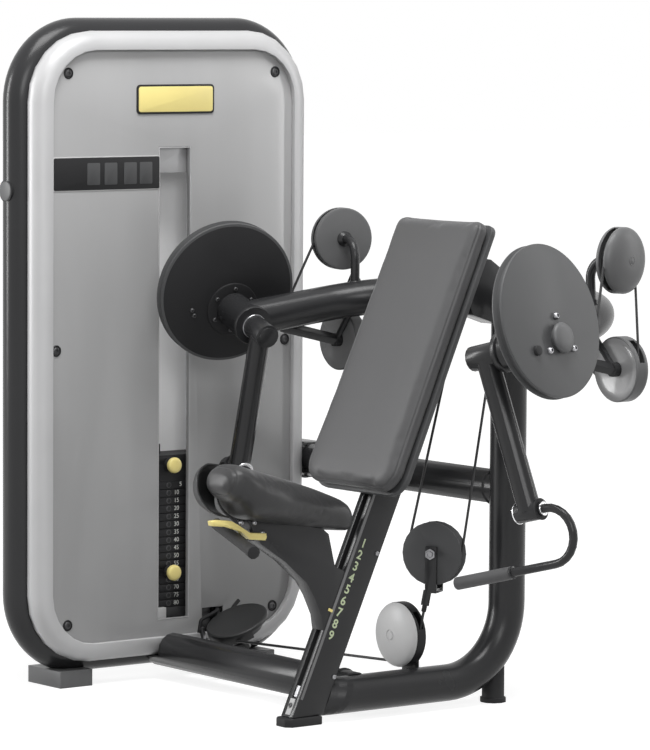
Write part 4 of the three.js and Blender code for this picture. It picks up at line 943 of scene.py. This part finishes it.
# %% Arm cable
def cable_part(node, keep, name):
    """The part of a cable whose faces pass the test keep, with its ends closed."""
    piece = copied(node)
    edit_chosen(piece, "FACE", lambda face: not keep(face.center))
    bpy.ops.mesh.delete(type="FACE")
    bpy.ops.mesh.select_all(action="SELECT")
    bpy.ops.mesh.fill_holes(sides=0)
    leave_edit()
    smoothed(65)
    return dressed(piece, name, None, "cable_black", cable_sleeve)


floating_axle = spot(205, 0, 336)
loop_top, loop_low, loop_half = 0.86, 0.42, 0.066


def in_lift_loop(point):
    return abs(point.y - floating_axle.y) < loop_half and point.z < loop_top


arm_rest = cable_part("arm_cable", lambda point: not in_lift_loop(point), "arm_cable_fixed_run")
arm_lift = cable_part("arm_cable", in_lift_loop, "arm_cable_lift_loop")
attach(arm_rest, "frame")
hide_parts("arm_cable")
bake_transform(arm_lift)
print("Arm cable faces:", len(arm_rest.data.polygons), len(arm_lift.data.polygons))

# %% [markdown]
# The stack cable starts in a ferrule at the foot of the floating pulley's fork and ends at the weights.

# %% Stack cable
fork_foot = spot(179.3, 0, 222)
fork_run_x, fork_run_y, fork_run_low = spot(150, 0, 0).x, spot(0, 52, 0).y, 0.16
stack_run_x, stack_run_y, stack_run_low, stack_run_high = spot(80, 0, 0).x, spot(0, 700, 0).y, 0.5, 1.285


def in_fork_run(point):
    return point.x > fork_run_x and point.y < fork_run_y and point.z > fork_run_low


def in_stack_run(point):
    return point.x < stack_run_x and point.y > stack_run_y and stack_run_low < point.z < stack_run_high


stack_rest = cable_part("stack_cable", lambda point: not in_fork_run(point) and not in_stack_run(point),
                        "stack_cable_fixed_run")
fork_run = cable_part("stack_cable", in_fork_run, "stack_cable_fork_run")
stack_run = cable_part("stack_cable", in_stack_run, "stack_cable_weight_run")
ferrule = turned([(0, -7), (4.6, -7), (5.4, -6), (5.4, 9), (4.2, 11), (0, 11)], fork_foot,
                 spot(163, -2, 166) - fork_foot, ring=28)
dressed(ferrule, "stack_cable_ferrule", "floating_pulley", "cable_black", near_black)
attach(stack_rest, "frame")
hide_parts("stack_cable")
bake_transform(fork_run)
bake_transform(stack_run)
print("Stack cable faces:", [len(piece.data.polygons) for piece in (stack_rest, fork_run, stack_run)])

# %% [markdown]
# Flat trim, such as a name place or a stop, is a block whose standing edges are rounded first and whose
# face edges are softened after, as a moulded tile has. The two name places stay bare.

# %% Tiles
def tile(low, high, corner, soft=0.6):
    """A block between two corners, thin from front to back; all in millimetres."""
    low, high = spot(*low), spot(*high)
    pick()
    bpy.ops.mesh.primitive_cube_add(size=1, location=(low + high) / 2)
    piece = bpy.context.object
    piece.scale = high - low
    bpy.ops.object.transform_apply(location=True, rotation=True, scale=True)

    def front_to_back(edge):
        ends = [piece.data.vertices[k].co for k in edge.vertices]
        return abs((ends[0] - ends[1]).normalized().y) > 0.9

    edit_chosen(piece, "EDGE", front_to_back)
    bpy.ops.mesh.bevel(offset=corner * mm, segments=6, affect="EDGES")
    leave_edit()
    rounded(piece, soft, 60)
    return settle(piece, 35)


placard_black = finish("placard_black_satin", (0.018, 0.018, 0.019), 0.5, grain=1500, relief=0.02,
                       spread=0.05, shine=0.2)
windows = together(*[tile((left_edge, 673.7, 1106), (left_edge + 34, 674.6, 1154), 3, 0.2)
                     for left_edge in (-232, -186, -134, -92)])
for piece, name, slot_name, paint in (
        (tile((-322, 674.7, 1093), (-36, 676.4, 1168), 5), "placard_pale_edge", "panel_gloss", moulded_pale),
        (tile((-320, 674.2, 1095), (-38, 675.4, 1166), 4), "placard_plate", "panel_gloss", placard_black),
        (windows, "placard_blank_windows", "panel_gloss", moulded_dark),
        (tile((-100, 673.2, 1259), (110, 676.4, 1324), 9), "badge_rim", "panel_gloss", placard_black),
        (tile((-95.5, 672.2, 1263.5), (105.5, 674, 1319.5), 6), "badge_blank_face", "yellow_plastic",
         yellow_moulding)):
    dressed(piece, name, "frame", slot_name, paint)
print("Bare windows:", windows.name)

# %% [markdown]
# Behind the slot the tower shows a pale back sheet, which glows faintly as painted light for the light that
# reaches into the slot. Screws in dark seats hold the panel at its corners and sides, and a small pale stop
# stands in the slot's corner under the plates. A round plug closes a hole in the tower's tube.

# %% Slot back, screws, stop and plug
glowing_back_sheet = finish("pale_back_sheet_painted_glow", (0.78, 0.78, 0.785), 0.4, grain=400, relief=0.03, spread=0.04)
back_sheet_glow_shader = glowing_back_sheet.node_tree.nodes["Principled BSDF"].inputs
# Painted light: the back sheet glows faintly, standing in for the light that reaches the back of the slot.
back_sheet_glow_shader["Emission Color"].default_value = (1, 1, 1, 1)
back_sheet_glow_shader["Emission Strength"].default_value = 0.12
near_way = Vector((0, -1, 0))
back_sheet = tile((-150, 778.6, 100), (150, 781.6, 1210), 10)
dressed(back_sheet, "slot_back_sheet", "frame", "channel_metal", glowing_back_sheet)
panel_screws = [spot(x, 676.4, z) for x, z in
                ((-281, 1350), (281, 1350), (-312, 746), (312, 746), (-281, 140), (281, 140))]
bolts("panel_screws", panel_screws, near_way, 8.5, 3.4, "frame", dark_steel)
seat_ring = [(8.7, -0.4), (8.9, 2.2), (11, 2.6), (12.4, 1.6), (12.8, -0.4), (8.7, -0.4)]
screw_seats = [turned(seat_ring, place, near_way, ring=28) for place in panel_screws]
dressed(together(*screw_seats), "panel_screw_seats", "frame", "rubber_black", near_black)
slot_top = tile((-60, 690, 1128), (70, 693, 1200), 3)
dressed(slot_top, "slot_top_sheet", "frame", "channel_metal", channel_grey)
stop = tile((-35.5, 684, 134.4), (-9, 694, 158), 2)
dressed(stop, "slot_corner_stop", "frame", "channel_metal", moulded_pale)
plug_place, plug_radius = spot(-397.6, 747, 1094), 21.2
plug = turned([(0, 2.2), (18, 2.2), (20.5, 1.4), (plug_radius, 0), (plug_radius, -14), (0, -14)], plug_place,
              -along_x, ring=48)
dressed(plug, "tower_tube_plug", "frame", "rubber_black", moulded_grey)
plug_ring = turned([(plug_radius, -14), (24.4, -14), (24.4, -0.6), (23.6, 0.2), (plug_radius, 0.2),
                    (plug_radius, -14)], plug_place, -along_x, ring=48)
dressed(plug_ring, "tower_tube_plug_ring", "frame", "rubber_black", near_black)
print("Slot trim done")

# %% [markdown]
# The two knobs are yellow buttons on black hubs, so that the hand finds them. A long pin behind the lower
# one goes into a plate.

# %% Knobs
def knob(name, height, tip, node):
    """A knob at a height in front of the plates, whose pin ends at the depth tip."""
    place, back, reach = spot(5, 667, height), Vector((0, 1, 0)), tip - 667
    button = turned([(0, -0.4), (9, -0.2), (14, 0.6), (16.5, 2.2), (17.5, 4.6), (17.5, 10), (16.8, 12.2),
                     (15, 13), (0, 13)], place, back, ring=56)
    dressed(button, name + "_button", node, "yellow_plastic", yellow_moulding, node)
    hub = turned([(0, 12.4), (14.6, 12.4), (15.4, 13.6), (15.4, 25), (14.4, 27), (4.5, 27.2),
                  (4.5, reach - 4), (2.6, reach), (0, reach)], place, back, ring=40)
    dressed(hub, name + "_hub", node, "rubber_black", black_rubber)


knob("pin", 235.9, 742, "selector_pin")
knob("increment", 477, 712, "increment_knob")
print("Knobs done")

# %% [markdown]
# Every plate has a hole for the pin in a small ring, except the one that the pin is in, where none would
# show. One ring is modelled, and each hole is a thin black disc of painted shade for its dark inside; both
# are copied to each height.

# %% Plate holes
plate_face, lowest_plate, plate_pitch, plate_count, resting = 694.9, 156.1, 17.73, 16, 4
plate_middles = [lowest_plate + plate_pitch * (k + 0.5) for k in range(plate_count)]
ring_model = turned([(4.6, -1), (4.6, 0.5), (5.8, 0.6), (6.6, 0.1), (6.6, -1), (4.6, -1)], ring=20)
# Painted shade: each hole is a thin black disc on the plate's face, not an opening.
hole_shade_model = turned([(0, 0.15), (4.2, 0.15), (4.7, -0.3), (0, -0.3)], ring=20)
for name, heights, body in (("resting", plate_middles[:resting], "frame"),
                            ("lifted", plate_middles[resting + 1:], "stack_lift")):
    places = [spot(5, plate_face, height) for height in heights]
    rings = repeated(ring_model, places, near_way)
    dressed(rings, "plate_hole_rings_" + name, body, "plate_iron", dark_steel)
    holes = repeated(hole_shade_model, places, near_way)
    dressed(holes, "plate_hole_shades_" + name, body, "plate_iron", black_rubber)
discard(ring_model, hole_shade_model)
print("Plate holes:", plate_count - 1)

# %% [markdown]
# Numbers are text turned into thin mesh. A text is placed only after it is a mesh, so that its place ends
# up in its points like that of every other piece. The plates are numbered by fives, with 80 at the bottom.

# %% Numbers on the plates
def numeral(word, size, place, right, up, thickness=0.25, bold=0.0):
    pick()
    bpy.ops.object.text_add(location=(0, 0, 0))
    piece = bpy.context.object
    piece.data.body = word
    piece.data.size = size * mm
    piece.data.align_x, piece.data.align_y = "CENTER", "CENTER"
    piece.data.extrude = thickness * mm / 2
    piece.data.offset = bold * mm
    bpy.ops.object.convert(target="MESH")
    right, up = Vector(right).normalized(), Vector(up).normalized()
    piece.data.transform(laid(right, up, right.cross(up), place))
    return piece


number_white = finish("number_white_ink", (0.68, 0.69, 0.66), 0.5, grain=1500, relief=0.05, spread=0.08)
labels = []
for k, height in enumerate(plate_middles):
    label_x = 26 if k < plate_count - 1 else 37
    labels.append(numeral(str(80 - 5 * k), 14, spot(label_x, plate_face, height), (1, 0, 0), (0, 0, 1)))
dressed(together(*labels[:resting]), "plate_numbers_resting", "frame", "plate_iron", number_white)
dressed(together(*labels[resting:]), "plate_numbers_lifted", "stack_lift", "plate_iron", number_white)
print("Plate numbers:", len(plate_middles))

# %% [markdown]
# The numbers on the post show the seat's height. They run down its near side, each upright along the
# lean, and are a little bolder than those of the plates.

# %% Numbers on the post
post_lean, number_pitch, number_count = math.radians(24.4), 25.8, 9
post_up = Vector((math.sin(post_lean), 0, math.cos(post_lean)))
post_out = Vector((-post_up.z, 0, post_up.x))
number_yellow = finish("number_yellow_ink", (0.6, 0.68, 0.45), 0.5, grain=1500, relief=0.05, spread=0.08)
post_numbers = []
for k in range(number_count):
    place = spot(-4, -21.1, 373) - post_up * number_pitch * k * mm
    post_numbers.append(numeral(str(k + 1), 27, place, -post_out, post_up, 0.5, 0.5))
dressed(together(*post_numbers), "seat_position_numbers", "frame", "frame_paint", number_yellow)
print("Post numbers: 1 to", number_count)

# %% [markdown]
# A grey strip runs down the front margin of the post's side, and a pale plate and the end block of the
# slot sit over its foot. Two screws hold the side, and a yellow pointer on the seat's carriage shows its
# place.

# %% Post trim
def on_post(along, behind, y):
    """A place on the post: along it from the floor, and behind its front face."""
    return spot(-196.7, y, 0) + (post_up * along - post_out * behind) * mm


def leaning_block(near, far, along, deep, soft=0.5):
    """A block on the post: from one Y to another, and between two distances along and behind its face."""
    pick()
    bpy.ops.mesh.primitive_cube_add(size=1)
    piece = bpy.context.object
    piece.scale = ((far - near) * mm, (deep[1] - deep[0]) * mm, (along[1] - along[0]) * mm)
    bpy.ops.object.transform_apply(location=False, rotation=False, scale=True)
    middle = on_post(sum(along) / 2, sum(deep) / 2, (near + far) / 2)
    piece.matrix_world = laid(Vector((0, 1, 0)), -post_out, post_up, middle)
    settle(piece)
    return rounded(piece, soft)


strip_grey = finish("strip_grey_metal", (0.17, 0.17, 0.172), 0.4, metallic=0.2, grain=900, relief=0.05,
                    spread=0.12)
strip = leaning_block(-21.2, -19.6, (64, 560), (1.5, 8), 0.3)
dressed(strip, "post_side_strip", "frame", "fork_steel", strip_grey)
foot_plate = leaning_block(-8, 8, (26, 62), (-1.4, 1))
dressed(foot_plate, "post_foot_plate", "frame", "fork_steel", moulded_pale)
bolts("post_foot_screw", [on_post(47, -1.4, 0)], post_out, 5.5, 2.6, "frame", dark_steel)
end_block = leaning_block(-6.5, 6.5, (67, 92), (3, 16))
dressed(end_block, "post_slot_end_block", "frame", "fork_steel", dull_steel)
bolts("post_screws", [spot(32.1, -21.2, 349.8), spot(-80.6, -21.2, 96.7)], near_way, 5, 2.6, "frame")
pointer = leaning_block(-22.6, -20.9, (258, 264), (-9, 3), 0.4)
dressed(pointer, "seat_pointer", "seat", "yellow_plastic", yellow_moulding)
carriage_bolts = [spot(x, -20.4, z) for x, z in
                  ((-325, 438.9), (-309.5, 419.1), (-291.6, 436.6), (-270.7, 414))]
bolts("carriage_bolts", carriage_bolts, near_way, 5.4, 4, "seat")
print("Post trim done")

# %% [markdown]
# Rings, washers and rubber stops finish the moving joints. A bright ring closes the inner end of each
# lever's socket, and a black one with a bright one over it the outer end, where the handle turns.

# %% Lever trim
def ring_outline(bore, radius, length):
    return [(bore, 0), (radius - 0.5, 0), (radius, 0.6), (radius, length - 0.6), (radius - 0.5, length),
            (bore, length), (bore, 0)]


bumper_outline = [(0, 8), (7.4, 8), (9.6, 7.2), (10.5, 5), (10.5, 0), (8.5, -1), (0, -1)]
collar_outline = [(20.4, 122), (26.6, 122), (27.2, 122.8), (27.2, 127), (26.4, 128), (20.4, 128),
                  (20.4, 122)]
socket = pivot + inward * 163 + down * 330
for side_name, side in sides.items():
    lever, handle = "lever_" + side_name, "handle_" + side_name
    way = flip(inward, side)
    socket_place = spot(*flip(socket, side))
    for name, outline, place, axis, ring, body, slot_name, paint in (
            ("socket_inner_ring_", ring_outline(15.8, 22.2, 2.6), socket_place + way * 27.6 * mm, way, 48,
             lever, "rod_chrome", polished_steel),
            ("socket_outer_ring_", ring_outline(15.8, 22.6, 3), socket_place - way * 27.4 * mm, -way, 48,
             lever, "rubber_black", black_rubber),
            ("handle_washer_", ring_outline(9.4, 14.6, 1.8), socket_place - way * 35.2 * mm, -way, 40,
             handle, "rod_chrome", polished_steel),
            ("cam_disc_bumper_", bumper_outline, by_pivot(side, -26, -81.2, -20.3), -way, 40,
             lever, "rubber_black", black_rubber),
            ("stub_collar_", collar_outline, by_pivot(side), way, 56, lever, "rod_chrome", dull_steel)):
        dressed(turned(outline, place, axis, ring=ring), name + side_name, body, slot_name, paint)
    nut_places = [by_pivot(side, 0.9, -90, -13), by_pivot(side, 0.9, -96, -1)]
    bolts("cam_disc_nuts_" + side_name, nut_places, way, 5.5, 5, lever, dark_steel)
print("Lever trim done")

# %% [markdown]
# A nut closes each end of the floating pulley's axle. The puck wheel, which lies nearly flat, runs under a
# lid with two slots. Two bent rods stay the lid, with a short steel clamp beside them.

# %% Pulley trim
nut_outline = [(0, 5.4), (4, 5.4), (4.48, 7), (7.2, 7), (8, 6), (8, 1.4), (12, 1.2), (12, -0.4), (0, -0.4)]
axle_way = Vector((-0.87, -0.49, 0)).normalized()
for name, way in (("near", axle_way), ("far", -axle_way)):
    nut = turned(nut_outline, floating_axle + way * 25 * mm, way, ring=6)
    dressed(nut, "floating_axle_" + name + "_nut", "floating_pulley", "fork_steel", dull_steel)
puck_up = Vector((-0.44, -0.075, 0.895)).normalized()
puck_grey = finish("puck_grey_plastic", (0.034, 0.0345, 0.035), 0.42, grain=1400, relief=0.12, spread=0.06)
puck_outline = [(71.6, -7.5), (71.6, 7.5), (71.6, 11), (70.8, 13.6), (67.5, 15.4), (66, 15.1),
                (50, 16.4), (0, 17)]
puck_lid = slotted_cover(puck_outline, spot(116, 580.9, 118.7), puck_up,
                         [Vector((0.55, -0.83, 0)), Vector((0.64, 0.68, 0.37))],
                         half_turn=0.72, half_width=7.5, wall=2.2, ring=88)
dressed(puck_lid, "puck_wheel_lid", "frame", "pulley_plastic", puck_grey)
stay = tube([spot(53.3, 645, 100), spot(58.7, 645, 128.4), spot(103.9, 650, 143.3), spot(112.2, 655, 148.3)],
            4.2, 8, ring=20, steps=8)
hook = tube([spot(136, 650, 131), spot(156, 652, 152), spot(171, 655, 163)], 4.2, 10, ring=20, steps=6)
clamp = tube([spot(58, 642, 112), spot(64, 642, 86), spot(72, 640, 82)], 5.6, 9, ring=20, steps=6)
dressed(together(stay, hook), "puck_wheel_stays", "frame", "frame_paint", near_black)
dressed(clamp, "puck_wheel_clamp", "frame", "fork_steel", dull_steel)
print("Pulley trim done")
